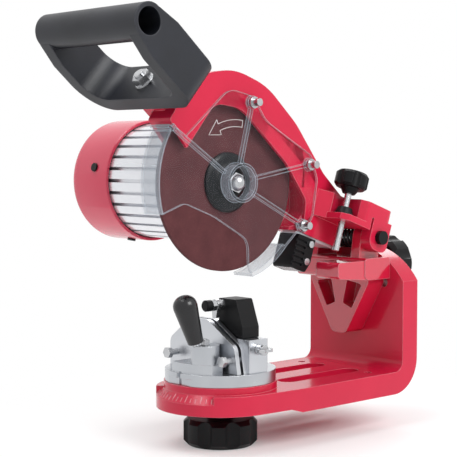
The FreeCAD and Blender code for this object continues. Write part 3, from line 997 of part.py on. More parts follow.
NODES["fixed_jaw"] = jaw(fixed_y, TABLE_TOP_Z).cut(fixed_holes)
NODES["moving_jaw"] = jaw(moving_y, TABLE_TOP_Z + FREE).cut(moving_holes)
NODES["jaw_bolts"] = Part.makeCompound(jaw_bolts)

# Cam drum, its stud and nut, and the clamp lever
cam_low = CAM_PAD_TOP_Z + FACE_GAP
cam_top = cam_low + CAM_H
CAM_NUT_AF = 8.0
CAM_NUT_T = 4.0
lever_lean = math.radians(LEVER_LEAN)
lever_way = V(0, -math.sin(lever_lean), math.cos(lever_lean))
rod_foot = V(CAM_X, CAM_Y - LEVER_OFFSET, cam_top - 4)
ROD_LENGTH = 26.0
GRIP_FROM = 7.5
GRIP_END_T = 3.0
lever_rod = Part.makeCylinder(LEVER_ROD_D / 2, ROD_LENGTH, rod_foot, lever_way)
drum = rod_z(cam_low, cam_top, CAM_X, CAM_Y + CAM_THROW, CAM_R)
NODES["cam_drum"] = drum.cut([rod_z(cam_low - 1, cam_top + 1, CAM_X, CAM_Y, CAM_STUD_D / 2 + RUN),
                              Part.makeCylinder(LEVER_ROD_D / 2 + SEAT, ROD_LENGTH, rod_foot, lever_way)])
NODES["lever_rod"] = lever_rod
grip_foot = rod_foot + lever_way * GRIP_FROM
grip = Part.makeCone(GRIP_R_LOW, GRIP_R_TOP, GRIP_LENGTH - GRIP_END_T, grip_foot, lever_way)
grip_top = grip_foot + lever_way * (GRIP_LENGTH - GRIP_END_T)
grip = grip.fuse(Part.makeCone(GRIP_R_TOP, GRIP_R_TOP * 0.62, GRIP_END_T, grip_top, lever_way))
NODES["lever_grip"] = grip.cut(Part.makeCylinder(LEVER_ROD_D / 2 + SEAT, ROD_LENGTH, rod_foot, lever_way)).removeSplitter()
NODES["cam_stud"] = rod_z(TABLE_TOP_Z - 5, cam_top + CAM_NUT_T + 1, CAM_X, CAM_Y, CAM_STUD_D / 2)
cam_nut = turn(hexagon_x(-CAM_NUT_T, 0, 0, 0, CAM_NUT_AF), (0, 0, 0), (0, 1, 0), 90)
cam_nut.translate(V(CAM_X, CAM_Y, cam_top + FACE_GAP))
NODES["cam_nut"] = cam_nut.cut(rod_z(cam_top - 1, cam_top + CAM_NUT_T + 2, CAM_X, CAM_Y, CAM_STUD_D / 2 + SEAT))

# Chain stop: sheet bracket, sliding block, thumb screw, pawl
stop_y0 = JAW_BACK_Y
stop_y1 = stop_y0 + STOP_DEPTH + 2
thumb_y = stop_y0 + STOP_DEPTH / 2 + 1
TONGUE_X0 = 13.0
TONGUE_X1 = 23.0
TONGUE_HALF = THUMB_D / 2 + 2.0
tongue_low = THUMB_Z - THUMB_D / 2 - 2.5
sheet = box(STOP_X0 - 4, STOP_WALL_X, stop_y0, stop_y1, TABLE_TOP_Z, STOP_SHELF_Z).cut(
    box(STOP_X0 - 5, STOP_WALL_X - STOP_SHEET, stop_y0 + STOP_SHEET, stop_y1 + 1, TABLE_TOP_Z - 1,
        STOP_SHELF_Z - STOP_SHEET))
slide_room = STOP_TRAVEL + FREE
NODES["stop_bracket"] = sheet.cut([
    box(TONGUE_X0 - slide_room, TONGUE_X1 + slide_room, thumb_y - TONGUE_HALF - FREE, thumb_y + TONGUE_HALF + FREE,
        STOP_SHELF_Z - STOP_SHEET - 1, STOP_SHELF_Z + 1),
    rod_x(STOP_WALL_X - STOP_SHEET - 1, STOP_WALL_X + 1, thumb_y, THUMB_Z, THUMB_D / 2 + RUN)]).removeSplitter()
block_low = STOP_SHELF_Z + FACE_GAP
block_y0, block_y1 = stop_y0 + 1, stop_y0 + 1 + STOP_DEPTH
pin_y0 = moving_y - 6
stop_profile = [(STOP_X0, block_low, 0), (STOP_X1, block_low, 1), (STOP_X1, block_low + 9, 2),
                (STOP_X1 - 8, STOP_TOP_Z, 2), (STOP_X0, STOP_TOP_Z, 1)]
tongue = box(TONGUE_X0, TONGUE_X1, thumb_y - TONGUE_HALF, thumb_y + TONGUE_HALF, tongue_low, block_low + 1)
stop_block = plate_y(stop_profile, block_y0, block_y1).fuse(tongue)
NODES["stop_block"] = stop_block.cut([
    rod_x(TONGUE_X0 - 1, TONGUE_X1 + 1, thumb_y, THUMB_Z, THUMB_D / 2 + RUN),
    rod_y(block_y0 - 1, block_y0 + 9, PAWL_X, PAWL_Z, PAWL_PIN_D / 2 + SEAT)]).removeSplitter()
WING_HALF = 7.0
thumb_head = STOP_WALL_X + FREE
wing = [(thumb_head + 3, thumb_y - 2, 1), (thumb_head + 4, thumb_y - WING_HALF, 2), (thumb_head + 12, thumb_y - WING_HALF, 3),
        (thumb_head + 9, thumb_y, 2), (thumb_head + 12, thumb_y + WING_HALF, 3), (thumb_head + 4, thumb_y + WING_HALF, 2),
        (thumb_head + 3, thumb_y + 2, 1)]
thumb = rod_x(TONGUE_X0 - 4, thumb_head + 1, thumb_y, THUMB_Z, THUMB_D / 2)
thumb = thumb.fuse([rod_x(thumb_head, thumb_head + 7, thumb_y, THUMB_Z, 4.2), plate_z(wing, THUMB_Z - 1.3, THUMB_Z + 1.3)])
NODES["thumb_screw"] = thumb.removeSplitter()
PAWL_NUT_AF = 8.2
pawl_y0 = fixed_y - CHAIN_GAP / 2 - PAWL_T / 2
NODES["pawl_pin"] = rod_y(pin_y0, block_y0 + 9, PAWL_X, PAWL_Z, PAWL_PIN_D / 2)
pawl_nuts = []
for y0, y1 in ((pawl_y0 + PAWL_T + FACE_GAP, block_y0), (pin_y0 + 5, pawl_y0 - FACE_GAP)):
    nut = turn(hexagon_x(y0, y1, 0, 0, PAWL_NUT_AF), (0, 0, 0), (0, 0, 1), 90)
    nut.translate(V(PAWL_X, 0, PAWL_Z))
    pawl_nuts.append(nut.cut(rod_y(y0 - 1, y1 + 1, PAWL_X, PAWL_Z, PAWL_PIN_D / 2 + SEAT)))
NODES["pawl_nuts"] = Part.makeCompound(pawl_nuts)
pawl_cap = rod_y(pin_y0 - 1.5, pin_y0 + 4.9, PAWL_X, PAWL_Z, 4.6)
pawl_cap = pawl_cap.makeChamfer(1.2, [e for e in pawl_cap.Edges if e.BoundBox.YMax < pin_y0 - 1])
NODES["pawl_cap"] = pawl_cap.cut(rod_y(pin_y0, pin_y0 + 6, PAWL_X, PAWL_Z, PAWL_PIN_D / 2 + SEAT))
finger = [(PAWL_X - 4, PAWL_Z + 1, 2), (PAWL_X - 2.5, PAWL_Z - PAWL_REACH, 0.8), (PAWL_X + 1.5, PAWL_Z - PAWL_REACH, 0.8),
          (PAWL_X + 4, PAWL_Z + 1, 2)]
pawl = plate_y(finger, pawl_y0, pawl_y0 + PAWL_T).fuse(rod_y(pawl_y0, pawl_y0 + PAWL_T, PAWL_X, PAWL_Z, 4.6))
NODES["stop_pawl"] = pawl.cut(rod_y(pawl_y0 - 1, pawl_y0 + PAWL_T + 1, PAWL_X, PAWL_Z, PAWL_PIN_D / 2 + RUN)).removeSplitter()

os.makedirs("parts", exist_ok=True)
for name, shape in NODES.items():
    shape.exportStep("parts/" + name + ".step")
print(len(NODES), "nodes; wheel axis at Y", round(WHEEL_Y, 2), "Z", round(WHEEL_Z, 2))
print("head pivot Z", TILT_Z, "cam axis", CAM_X, round(CAM_Y, 2), "stop pad Z", round(PAD_Z, 2))
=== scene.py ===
import bpy
import json
import math
import numpy as np
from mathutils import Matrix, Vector


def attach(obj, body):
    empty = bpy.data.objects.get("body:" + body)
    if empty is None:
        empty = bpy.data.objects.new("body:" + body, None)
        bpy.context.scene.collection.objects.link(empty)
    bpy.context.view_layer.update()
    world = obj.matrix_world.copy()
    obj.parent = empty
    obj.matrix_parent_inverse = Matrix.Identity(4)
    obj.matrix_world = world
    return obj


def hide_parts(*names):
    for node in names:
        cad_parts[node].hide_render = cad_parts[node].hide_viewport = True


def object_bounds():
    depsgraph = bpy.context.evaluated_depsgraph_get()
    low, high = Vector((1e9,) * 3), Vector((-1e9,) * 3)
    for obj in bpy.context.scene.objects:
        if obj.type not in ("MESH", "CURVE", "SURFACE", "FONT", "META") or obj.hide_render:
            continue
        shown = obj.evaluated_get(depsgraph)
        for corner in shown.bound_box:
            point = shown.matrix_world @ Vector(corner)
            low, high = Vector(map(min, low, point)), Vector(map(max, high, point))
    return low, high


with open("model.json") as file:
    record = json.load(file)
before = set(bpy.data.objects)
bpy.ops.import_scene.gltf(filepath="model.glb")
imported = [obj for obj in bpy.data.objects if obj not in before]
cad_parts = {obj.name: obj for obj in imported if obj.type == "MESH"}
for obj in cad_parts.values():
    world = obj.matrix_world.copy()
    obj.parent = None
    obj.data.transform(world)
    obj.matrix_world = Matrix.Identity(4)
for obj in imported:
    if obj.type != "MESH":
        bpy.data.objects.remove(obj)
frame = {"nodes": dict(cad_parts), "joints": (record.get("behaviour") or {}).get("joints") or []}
cad_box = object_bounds()
nodes = frame["nodes"]
scene = bpy.context.scene
scene.view_settings.view_transform = "Standard"

# Camera
# It stands to the operator's right front, a little above the wheel, as the photograph was taken.
AZIMUTH = math.radians(47.39)
PITCH = math.radians(3.42)
LENS_MM = 102.87
SENSOR_MM = 36
EYE = (0.78715, -0.81102, 0.21229)
camera = bpy.data.objects.new("camera", bpy.data.cameras.new("camera"))
camera.data.lens = LENS_MM
camera.data.sensor_width = SENSOR_MM
camera.data.clip_end = 50
camera.location = EYE
looking = Vector((-math.sin(AZIMUTH) * math.cos(PITCH),
                  math.cos(AZIMUTH) * math.cos(PITCH),
                  -math.sin(PITCH)))
camera.rotation_euler = looking.to_track_quat("-Z", "Y").to_euler()
scene.collection.objects.link(camera)
scene.camera = camera


# Base casting
# One L-shaped casting carries everything: a round platform for the vise, a slotted foot and the upright.
# It is cast in light alloy, fettled and sprayed with gloss red enamel, with a pale highlight painted along
# its edges.
def srgb(text):
    """Linear colour from an sRGB hex value, by the standard's two-part curve."""
    levels = np.array([int(text[i:i + 2], 16) for i in (1, 3, 5)]) / 255
    linear = np.where(levels <= 0.04045, levels / 12.92, ((levels + 0.055) / 1.055) ** 2.4)
    return (*linear, 1.0)


def add(tree, kind, values=(), **settings):
    """One shader node with its settings, and each named input set to a value or linked to a socket."""
    made = tree.nodes.new(kind)
    for name, value in settings.items():
        setattr(made, name, value)
    for socket, value in values:
        if isinstance(value, bpy.types.NodeSocket):
            tree.links.new(value, made.inputs[socket])
        else:
            made.inputs[socket].default_value = value
    return made


COAT_ROUGH = 0.06
CLOUD_LOW, CLOUD_HIGH = 0.3, 0.7  # levels of the slow noise between which the shades change
EDGE_FROM, EDGE_TO, EDGE_MOST = 0.99, 0.8, 0.6  # cosines between which an edge pales, and how much


def surface(name, colour, shade, rough, metal=0.0, shine=0.5, grain_mm=1.2, depth_mm=0.04, patch_mm=60,
            round_mm=0.5, edge=None, coat=0.0, drawn=(1, 1, 1), spread=0.08):
    """Finish of a solid piece: two shades mixed by a slow noise, a roughness that follows it, a fine grain
    as bump, softened edges, and, when an edge colour is given, a paler line painted along the edges as a
    highlight."""
    material = bpy.data.materials.new(name)
    material.use_nodes = True
    tree = material.node_tree
    shader = tree.nodes["Principled BSDF"]
    place = add(tree, "ShaderNodeTexCoord").outputs["Object"]
    along = add(tree, "ShaderNodeMapping", [("Vector", place), ("Scale", drawn)]).outputs["Vector"]
    slow = add(tree, "ShaderNodeTexNoise", [("Vector", along), ("Scale", 1000 / patch_mm), ("Detail", 4.0)])
    fine = add(tree, "ShaderNodeTexNoise", [("Vector", along), ("Scale", 1000 / grain_mm), ("Detail", 3.0)])
    cloud = add(tree, "ShaderNodeMapRange", [("Value", slow.outputs["Fac"]), ("From Min", CLOUD_LOW),
                                             ("From Max", CLOUD_HIGH)])
    tone = add(tree, "ShaderNodeMix", [(0, cloud.outputs["Result"]), (6, srgb(colour)), (7, srgb(shade))],
               data_type="RGBA")
    shown = tone.outputs[2]
    soft = add(tree, "ShaderNodeBevel", [("Radius", round_mm / 1000)], samples=4).outputs["Normal"]
    # Painted highlight: a paler colour mixed in where the softened normal turns away from the true one, along
    # edges.
    if edge:
        normal = add(tree, "ShaderNodeNewGeometry").outputs["Normal"]
        facing = add(tree, "ShaderNodeVectorMath", [(0, soft), (1, normal)], operation="DOT_PRODUCT")
        line = add(tree, "ShaderNodeMapRange", [("Value", facing.outputs["Value"]), ("From Min", EDGE_FROM),
                                                ("From Max", EDGE_TO), ("To Max", EDGE_MOST)])
        edge_highlight = add(tree, "ShaderNodeMix", [(0, line.outputs["Result"]), (6, shown), (7, srgb(edge))],
                   data_type="RGBA")
        shown = edge_highlight.outputs[2]
    tree.links.new(shown, shader.inputs["Base Color"])
    gloss = add(tree, "ShaderNodeMapRange", [("Value", slow.outputs["Fac"]), ("To Min", rough - spread),
                                             ("To Max", rough + spread)])
    tree.links.new(gloss.outputs["Result"], shader.inputs["Roughness"])
    bump = add(tree, "ShaderNodeBump", [("Height", fine.outputs["Fac"]), ("Strength", 1.0),
                                        ("Distance", depth_mm / 1000), ("Normal", soft)])
    tree.links.new(bump.outputs["Normal"], shader.inputs["Normal"])
    shader.inputs["Metallic"].default_value = metal
    shader.inputs["Specular IOR Level"].default_value = shine
    shader.inputs["Coat Weight"].default_value = coat
    shader.inputs["Coat Roughness"].default_value = COAT_ROUGH
    return material


SHARP = math.radians(32)  # faces that meet at more than this keep a hard edge
SAME_POINT = 1e-6  # points closer than this, in metres, are one
undressed = set(nodes)


def dress(material, *names):
    """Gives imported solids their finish; their faces are welded and shaded smooth up to the sharp edges."""
    for name in names:
        mesh = nodes[name].data
        mesh.materials.clear()
        mesh.materials.append(material)
        mesh.polygons.foreach_set("material_index", np.zeros(len(mesh.polygons), np.int32))
        mesh.polygons.foreach_set("use_smooth", np.ones(len(mesh.polygons), bool))
        nodes[name].modifiers.new("weld", "WELD").merge_threshold = SAME_POINT
        nodes[name].modifiers.new("sharp_edges", "EDGE_SPLIT").split_angle = SHARP
        undressed.remove(name)


def piece(name, points, faces, material, body, smooth=True):
    """New mesh from arrays of points and faces, riding on a body."""
    mesh = bpy.data.meshes.new(name)
    mesh.from_pydata(np.asarray(points).tolist(), [], np.asarray(faces).tolist())
    mesh.materials.append(material)
    mesh.polygons.foreach_set("use_smooth", np.full(len(mesh.polygons), smooth))
    made = bpy.data.objects.new(name, mesh)
    scene.collection.objects.link(made)
    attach(made, body)
    return made


# Sprayed enamel: a deep red with soft, faintly rippled highlights, and a pale highlight painted along its
# edges.
red_enamel = surface("red_enamel_on_casting", "#cd1f41", "#c21b3c", 0.2, shine=0.28, grain_mm=2.2,
                     depth_mm=0.03, patch_mm=70, round_mm=0.9, edge="#f3a3b0", coat=0.12, spread=0.05)
dress(red_enamel, "base_casting")

# Angle scale
# Marks cast on the sloping shelf in front of the vise, every five degrees and longer every fifteen.
# The enamel is rubbed off their tops, so they show paler than the shelf. Sizes are in millimetres.
hinges = [joint for joint in frame["joints"] if joint["type"] == "hinge"]
hinge_at = {joint["name"]: np.array(joint["pos_m"]) for joint in hinges}
VISE_Y = hinge_at["vise_turn"][1] * 1000
SEAT_R, RIM_R, SEAT_Z, RIM_Z = 46.9, 52.4, 19.45, 13.4
MARK_HALF, MARK_UP, MARK_SUNK = 0.35, 0.35, 0.3
MARK_LAST, MARK_STEP, LONG_STEP = 40, 5, 15
LONG_INSET, SHORT_INSET, RIM_INSET = 0.8, 2.4, 0.5
# Each mark is a block along a radius; its corners follow the shelf, which falls evenly from seat to rim.
angles = np.arange(-MARK_LAST, MARK_LAST + 1, MARK_STEP)
inner_r = SEAT_R + np.where(angles % LONG_STEP == 0, LONG_INSET, SHORT_INSET)
corner = np.array(((0, -1), (1, -1), (1, 1), (0, 1)))
radius = inner_r[:, None] + (RIM_R - RIM_INSET - inner_r[:, None]) * corner[:, 0]
bearing = np.radians(angles)[:, None] + MARK_HALF / radius * corner[:, 1]
shelf = SEAT_Z - (radius - SEAT_R) / (RIM_R - SEAT_R) * (SEAT_Z - RIM_Z)
low = np.stack((radius * np.sin(bearing), VISE_Y - radius * np.cos(bearing), shelf), -1)
marks = np.stack((low - (0, 0, MARK_SUNK), low + (0, 0, MARK_UP)), 1).reshape(-1, 3) / 1000
block = np.array(((4, 5, 6, 7), (0, 1, 5, 4), (1, 2, 6, 5), (2, 3, 7, 6), (3, 0, 4, 7), (3, 2, 1, 0)))
faces = (8 * np.arange(len(angles))[:, None, None] + block).reshape(-1, 4)
rubbed_enamel = surface("rubbed_red_enamel", "#eaa3ad", "#d8707f", 0.35, shine=0.4, patch_mm=4)
piece("vise_scale_marks", marks, faces, rubbed_enamel, "base", False)

# Tilting head
# The bracket turns on a pin through the upright and is locked by a knob at the back; its two ears
# carry the arm's hinge pin. It is a casting in the same enamel, polished to a higher gloss, with a broad
# pale highlight painted along its edges, and plated steel pins and nuts.

# Zinc plate is a light grey, slightly cloudy mirror. Grained plastic is dull black with a grey highlight
# painted along its edges, and its grain is drawn coarser than the real 0.3 mm, or it would not show.
zinc = surface("zinc_plated_steel", "#c9cacc", "#b6b7ba", 0.26, 1.0, grain_mm=0.7, depth_mm=0.02,
               patch_mm=11)
black_moulding = surface("black_grained_plastic", "#0c0c0e", "#08080a", 0.42, shine=0.2, grain_mm=0.6,
                         depth_mm=0.06, patch_mm=25, edge="#3a3a40")
# Painted highlight: the pale edge colour, on a broad rounding, stands for light along the bracket's edges.
bracket_enamel_lit_edges = surface("red_enamel_painted_edge_highlight", "#cc1a3c", "#c01737", 0.16, shine=0.7, grain_mm=2.2,
                         depth_mm=0.02, patch_mm=70, round_mm=1.3, edge="#f3a3b0", coat=0.9, spread=0.04)
dress(bracket_enamel_lit_edges, "tilt_bracket")
dress(zinc, "tilt_pivot_pin", "tilt_pivot_nut", "tilt_lock_stud", "tilt_washer", "hinge_pin")
dress(black_moulding, "tilt_knob", "hinge_pin_caps")

# Return spring
# A torsion spring of drawn steel wire, wound on the hinge pin, lifts the arm. It is blackened against
# rust, so it looks dark, with a thin gleam along each turn.
spring_wire = surface("blackened_spring_wire", "#2a2b2f", "#1c1d20", 0.25, 0.5, shine=0.4)
dress(spring_wire, "return_spring")

# Swinging arm
# One casting makes the beam from the hinge, the hood round the wheel and the flange for the motor.
# The handle, a hollow black moulding, is bolted to a post on its back. It is greyer than the knobs, its
# coarse grain breaks up the highlights, and a grey highlight is painted along its broad rounded edges.
grip_plastic = surface("black_grip_plastic", "#20222a", "#181a20", 0.4, shine=0.4, grain_mm=0.8,
                       depth_mm=0.09, patch_mm=33, round_mm=1.6, edge="#50525a")
dress(red_enamel, "arm_casting")
dress(grip_plastic, "handle")
dress(zinc, "handle_bolt", "handle_nut")

# Motor
# A finned casting left bright, closed by a pressed cap in a paler red; the switch and the cable gland
# stand on the cap. The stator, rotor and bearings lie inside, behind the cap's slots.

# Bare cast aluminium has a pale shine, drawn out along the fins, and the enamel on the cap a clean gloss with
# a pale highlight painted along its edges.
# Black oxide is near black with a faint gleam of metal, and the iron shows its stacked sheets as lines.
bright_casting = surface("bright_cast_aluminium", "#f0f1f5", "#e2e4e9", 0.26, 0.7, grain_mm=2.0,
                         depth_mm=0.04, drawn=(0.15, 1, 1))
red_pressing = surface("red_enamel_on_pressing", "#d43a56", "#cd3350", 0.24, shine=0.5, grain_mm=3.3,
                       depth_mm=0.03, patch_mm=100, edge="#ec8092", coat=0.4)
black_oxide = surface("black_oxide_steel", "#121316", "#0c0d0f", 0.32, 0.2, shine=0.3, grain_mm=1.1,
                      depth_mm=0.005)
core_iron = surface("laminated_motor_iron", "#77787b", "#66676a", 0.5, 1.0, grain_mm=0.6, drawn=(4, 1, 1))
dress(bright_casting, "motor_housing")
dress(red_pressing, "motor_end_cap")
dress(black_oxide, "cap_screws")
dress(zinc, "motor_bolts", "front_bearing", "rear_bearing", "motor_shaft")
dress(core_iron, "motor_stator", "motor_rotor")
dress(black_moulding, "cooling_fan", "switch_bezel", "switch_rocker", "cable_gland")

# Grinding wheel
# A thin wheel of brown resin with abrasive grains, clamped between two flanges by the spindle nut.
# Its face is matt; the grains are drawn coarser than the real 0.3 mm grit, or they would not show.
GRIT_MM, GRIT_SHOWS = 0.6, 0.14
GRIT_LOW, GRIT_HIGH = 0.62, 0.95
resin = surface("brown_resin_abrasive", "#5a3033", "#4f292c", 0.7, shine=0.2, grain_mm=0.45, depth_mm=0.05,
                patch_mm=17)
tree = resin.node_tree
shader = tree.nodes["Principled BSDF"]
place = add(tree, "ShaderNodeTexCoord").outputs["Object"]
grit = add(tree, "ShaderNodeTexVoronoi", [("Vector", place), ("Scale", 1000 / GRIT_MM)]).outputs["Color"]
speck = add(tree, "ShaderNodeMapRange", [("Value", grit), ("From Min", GRIT_LOW), ("From Max", GRIT_HIGH),
                                         ("To Max", GRIT_SHOWS)])
plain = shader.inputs["Base Color"].links[0].from_socket
mixed = add(tree, "ShaderNodeMix", [(0, speck.outputs["Result"]), (6, plain), (7, srgb("#83504a"))],
            data_type="RGBA")
tree.links.new(mixed.outputs[2], shader.inputs["Base Color"])
dress(resin, "grinding_wheel")
dress(black_oxide, "outer_flange")
dress(zinc, "inner_flange", "spindle_nut")

# Clear guard
# A moulding of clear polycarbonate over the wheel's face, with a ring at the nut and ribs to its three
# screws. Light gathers in its edges, so rims and ribs show bright while the face is hardly seen.
POLYCARBONATE_IOR = 1.58
FACE_COS, WALL_COS = 0.95, 0.4  # how square to X a face and a wall stand
RIM_FROM, RIM_TO = 0.995, 0.85  # cosines between which an edge brightens


def clear_moulding(name, colour, face, wall, rim, rough, rim_mm=0.9):
    """Clear plastic: its opacity is least on faces square to X, more on side walls, most along edges."""
    material = bpy.data.materials.new(name)
    material.use_nodes = True
    tree = material.node_tree
    shader = tree.nodes["Principled BSDF"]
    shader.inputs["Base Color"].default_value = srgb(colour)
    shader.inputs["Roughness"].default_value = rough
    shader.inputs["IOR"].default_value = POLYCARBONATE_IOR
    lie = add(tree, "ShaderNodeTexCoord").outputs["Normal"]
    part = add(tree, "ShaderNodeSeparateXYZ", [(0, lie)]).outputs["X"]
    flat = add(tree, "ShaderNodeMath", [(0, part)], operation="ABSOLUTE").outputs[0]
    side = add(tree, "ShaderNodeMapRange", [("Value", flat), ("From Min", FACE_COS), ("From Max", WALL_COS),
                                            ("To Min", face), ("To Max", wall)]).outputs["Result"]
    soft = add(tree, "ShaderNodeBevel", [("Radius", rim_mm / 1000)], samples=4).outputs["Normal"]
    normal = add(tree, "ShaderNodeNewGeometry").outputs["Normal"]
    facing = add(tree, "ShaderNodeVectorMath", [(0, soft), (1, normal)],
                 operation="DOT_PRODUCT").outputs["Value"]
    line = add(tree, "ShaderNodeMapRange", [("Value", facing), ("From Min", RIM_FROM), ("From Max", RIM_TO),
                                            ("To Max", rim)]).outputs["Result"]
    most = add(tree, "ShaderNodeMath", [(0, side), (1, line)], operation="MAXIMUM").outputs[0]
    tree.links.new(most, shader.inputs["Alpha"])
    return material


dress(clear_moulding("clear_polycarbonate", "#b4bdc8", 0.012, 0.38, 0.85, 0.06, 1.1), "wheel_guard")
dress(zinc, "guard_screws")

# Direction arrow
# A thin outline moulded on the guard's face, over the upper left of the wheel, shows how the wheel turns.
# Its raised line catches the light, so it shows pale. The arm is drawn level and raised about the hinge, so
# the arrow is placed the same way. Its sizes are in millimetres.
WHEEL_AXIS = hinge_at["wheel_spin"]
beam = WHEEL_AXIS - hinge_at["arm_swing"]
RAISE = math.atan2(beam[2], -beam[1])
TURN = np.array(((1, 0, 0),
                 (0, math.cos(RAISE), math.sin(RAISE)),
                 (0, -math.sin(RAISE), math.cos(RAISE))))
ARROW_R, ARROW_HALF, ARROW_X, ARROW_UP, LINE_HALF = 48.0, 2.8, 13.75, 0.3, 0.24
BARB = 2.3  # half width of the head, in half widths of the shaft
TAIL, NECK, TIP = np.radians((100, 131, 146))  # where the shaft starts, the head starts and the head ends
ARC_POINTS, EDGE_POINTS = 24, 5


def on_arm(level_mm):
    """Metres in the part's frame from millimetres in the level arm's frame."""
    return np.asarray(level_mm) / 1000 @ TURN.T + WHEEL_AXIS


def on_face(radius, angle):
    """Points of the guard's face at a radius and an angle about the wheel's axis."""
    return np.stack((np.cos(angle) * radius, np.sin(angle) * radius), -1)


def ribbon(path, half_width):
    """Flat strip of quads along a path: each point is moved to both sides along the path's normal."""
    way = np.gradient(path, axis=0)
    side = np.stack((-way[:, 1], way[:, 0]), 1) / np.linalg.norm(way, axis=1)[:, None] * half_width
    k = np.arange(len(path) - 1)
    quads = np.stack((k, k + len(path), k + len(path) + 1, k + 1), 1)
    return np.concatenate((path + side, path - side)), quads


sweep = np.linspace(TAIL, NECK, ARC_POINTS)
head = on_face(ARROW_R + BARB * ARROW_HALF * np.array((1, 0, -1)), np.array((NECK, TIP, NECK)))
outer, inner = on_face(ARROW_R + ARROW_HALF, sweep), on_face(ARROW_R - ARROW_HALF, sweep)
outline = np.concatenate((outer, head, inner[::-1], outer[:1]))
steps = np.linspace(0, 1, EDGE_POINTS, endpoint=False)[:, None]
dense = (outline[:-1, None] + (outline[1:] - outline[:-1])[:, None] * steps).reshape(-1, 2)
flat, quads = ribbon(np.concatenate((dense, dense[:1])), LINE_HALF)
raised_mark = clear_moulding("clear_raised_mark", "#f4eeee", 0.4, 0.6, 0.6, 0.2)
arrow = piece("guard_arrow", on_arm(np.column_stack((np.full(len(flat), ARROW_X), flat))), quads,
              raised_mark, "arm", False)
thick = arrow.modifiers.new("raised", "SOLIDIFY")
thick.thickness = ARROW_UP / 1000
thick.offset = 0

# Work lamp
# A small black moulding with a clear lens hangs from a strip of bright steel under the arm, with two plated
# screws in its side. Brushing draws the strip's shine out into streaks; the lens is almost white.
brushed = surface("brushed_sheet_steel", "#d2d4d8", "#bfc2c7", 0.3, 1.0, grain_mm=1.7, depth_mm=0.03,
                  drawn=(0.05, 1, 1))
dress(black_moulding, "lamp_housing")
dress(clear_moulding("clear_lamp_lens", "#eef2f4", 0.4, 0.5, 0.8, 0.1), "lamp_lens")
dress(brushed, "lamp_bracket")
dress(zinc, "lamp_screws")

# Depth stop
# A plated screw through a ledge of the arm sets how far the arm comes down. Its knob is a black moulding,
# and so is the nut on the ledge that locks it.
dress(zinc, "depth_rod")
dress(black_moulding, "depth_knob", "depth_lock_nut")

# Chain vise
# A cast turntable, machined on its rim, turns on the platform and is locked from below by a black knob.
# Two jaws of bright sheet steel stand on it, and the chain hangs between them. The bare casting is a soft
# grey metal, with a bright highlight painted along its edges.
machined_casting = surface("machined_cast_aluminium", "#c6c9cd", "#b3b6bb", 0.28, 1.0, grain_mm=1.2,
                           depth_mm=0.04, edge="#eceef0")
dress(machined_casting, "vise_turntable")
dress(brushed, "fixed_jaw", "moving_jaw")
dress(zinc, "vise_stud", "vise_washer", "jaw_bolts")
dress(black_moulding, "vise_lock_knob")

# Clamp lever
# A short lever turns the cam drum that closes the jaws. Its grip is a glossy black turning, wider towards
# its domed top, pushed onto the plated rod. Sizes are in millimetres.
dress(machined_casting, "cam_drum")
dress(zinc, "cam_stud", "cam_nut", "lever_rod")
GRIP_OUT, GRIP_UP = 8.97, 11.15  # the grip's foot from the lever's axis point
GRIP_FOOT = hinge_at["clamp_lever"] * 1000 + (0, -GRIP_OUT, GRIP_UP)
GRIP_LEAN = math.radians(20)
GRIP_LENGTH, GRIP_DOME, GRIP_R_LOW, GRIP_R_TOP = 40.0, 9.5, 6.4, 9.75
DOME_START = GRIP_LENGTH - GRIP_DOME
DOME_POWER = 2.4  # two would be an ellipse; more is blunter
TAPER_RINGS, DOME_RINGS, AROUND = 12, 14, 48
DOME_FIRST = 0.08  # share of the dome's quarter turn at its lowest ring
# The radius grows evenly up to the dome, and the dome closes to its pole as a blunt ellipse.
dome_steps = np.sin(np.linspace(DOME_FIRST, 1, DOME_RINGS) * math.pi / 2)  # closer near the pole
rise = np.concatenate((np.zeros(1), np.linspace(0, DOME_START, TAPER_RINGS),
                       GRIP_LENGTH - GRIP_DOME * (1 - dome_steps)))
taper = GRIP_R_LOW + (GRIP_R_TOP - GRIP_R_LOW) * np.clip(rise / DOME_START, 0, 1)
dome = np.clip((rise - GRIP_LENGTH + GRIP_DOME) / GRIP_DOME, 0, 1)
girth = taper * np.sqrt(1 - dome ** DOME_POWER)
girth[0] = girth[-1] = 0
turn = np.arange(AROUND) * 2 * math.pi / AROUND
way = np.array((0, -math.sin(GRIP_LEAN), math.cos(GRIP_LEAN)))
across = np.array((0, math.cos(GRIP_LEAN), math.sin(GRIP_LEAN)))
ring = np.cos(turn)[:, None] * np.array((1, 0, 0)) + np.sin(turn)[:, None] * across
turned = GRIP_FOOT + rise[:, None, None] * way + girth[:, None, None] * ring
i, j = np.meshgrid(np.arange(len(rise) - 1), np.arange(AROUND), indexing="ij")
next_j = (j + 1) % AROUND
skin = np.stack((i * AROUND + j, i * AROUND + next_j,
                 (i + 1) * AROUND + next_j, (i + 1) * AROUND + j), -1)
glossy_black = surface("black_turned_phenolic", "#161619", "#101013", 0.22, shine=0.5, grain_mm=1.5,
                       depth_mm=0.01)
dress(glossy_black, "lever_grip")
lever_grip = piece("lever_grip_turned", turned.reshape(-1, 3) / 1000, skin.reshape(-1, 4), glossy_black,
                   "clamp_cam")
lever_grip.modifiers.new("close_poles", "WELD").merge_threshold = SAME_POINT
lever_grip.modifiers.new("sharp_edges", "EDGE_SPLIT").split_angle = SHARP
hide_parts("lever_grip")

# Chain stop
# A black block slides on a bent steel bracket, set by a thumb screw; the steel pawl on its pin flips over
# the chain and holds each tooth in its place.
dress(black_moulding, "stop_block", "pawl_cap")
dress(brushed, "stop_bracket")
dress(zinc, "pawl_pin", "pawl_nuts", "stop_pawl", "thumb_screw")
assert not undressed, undressed

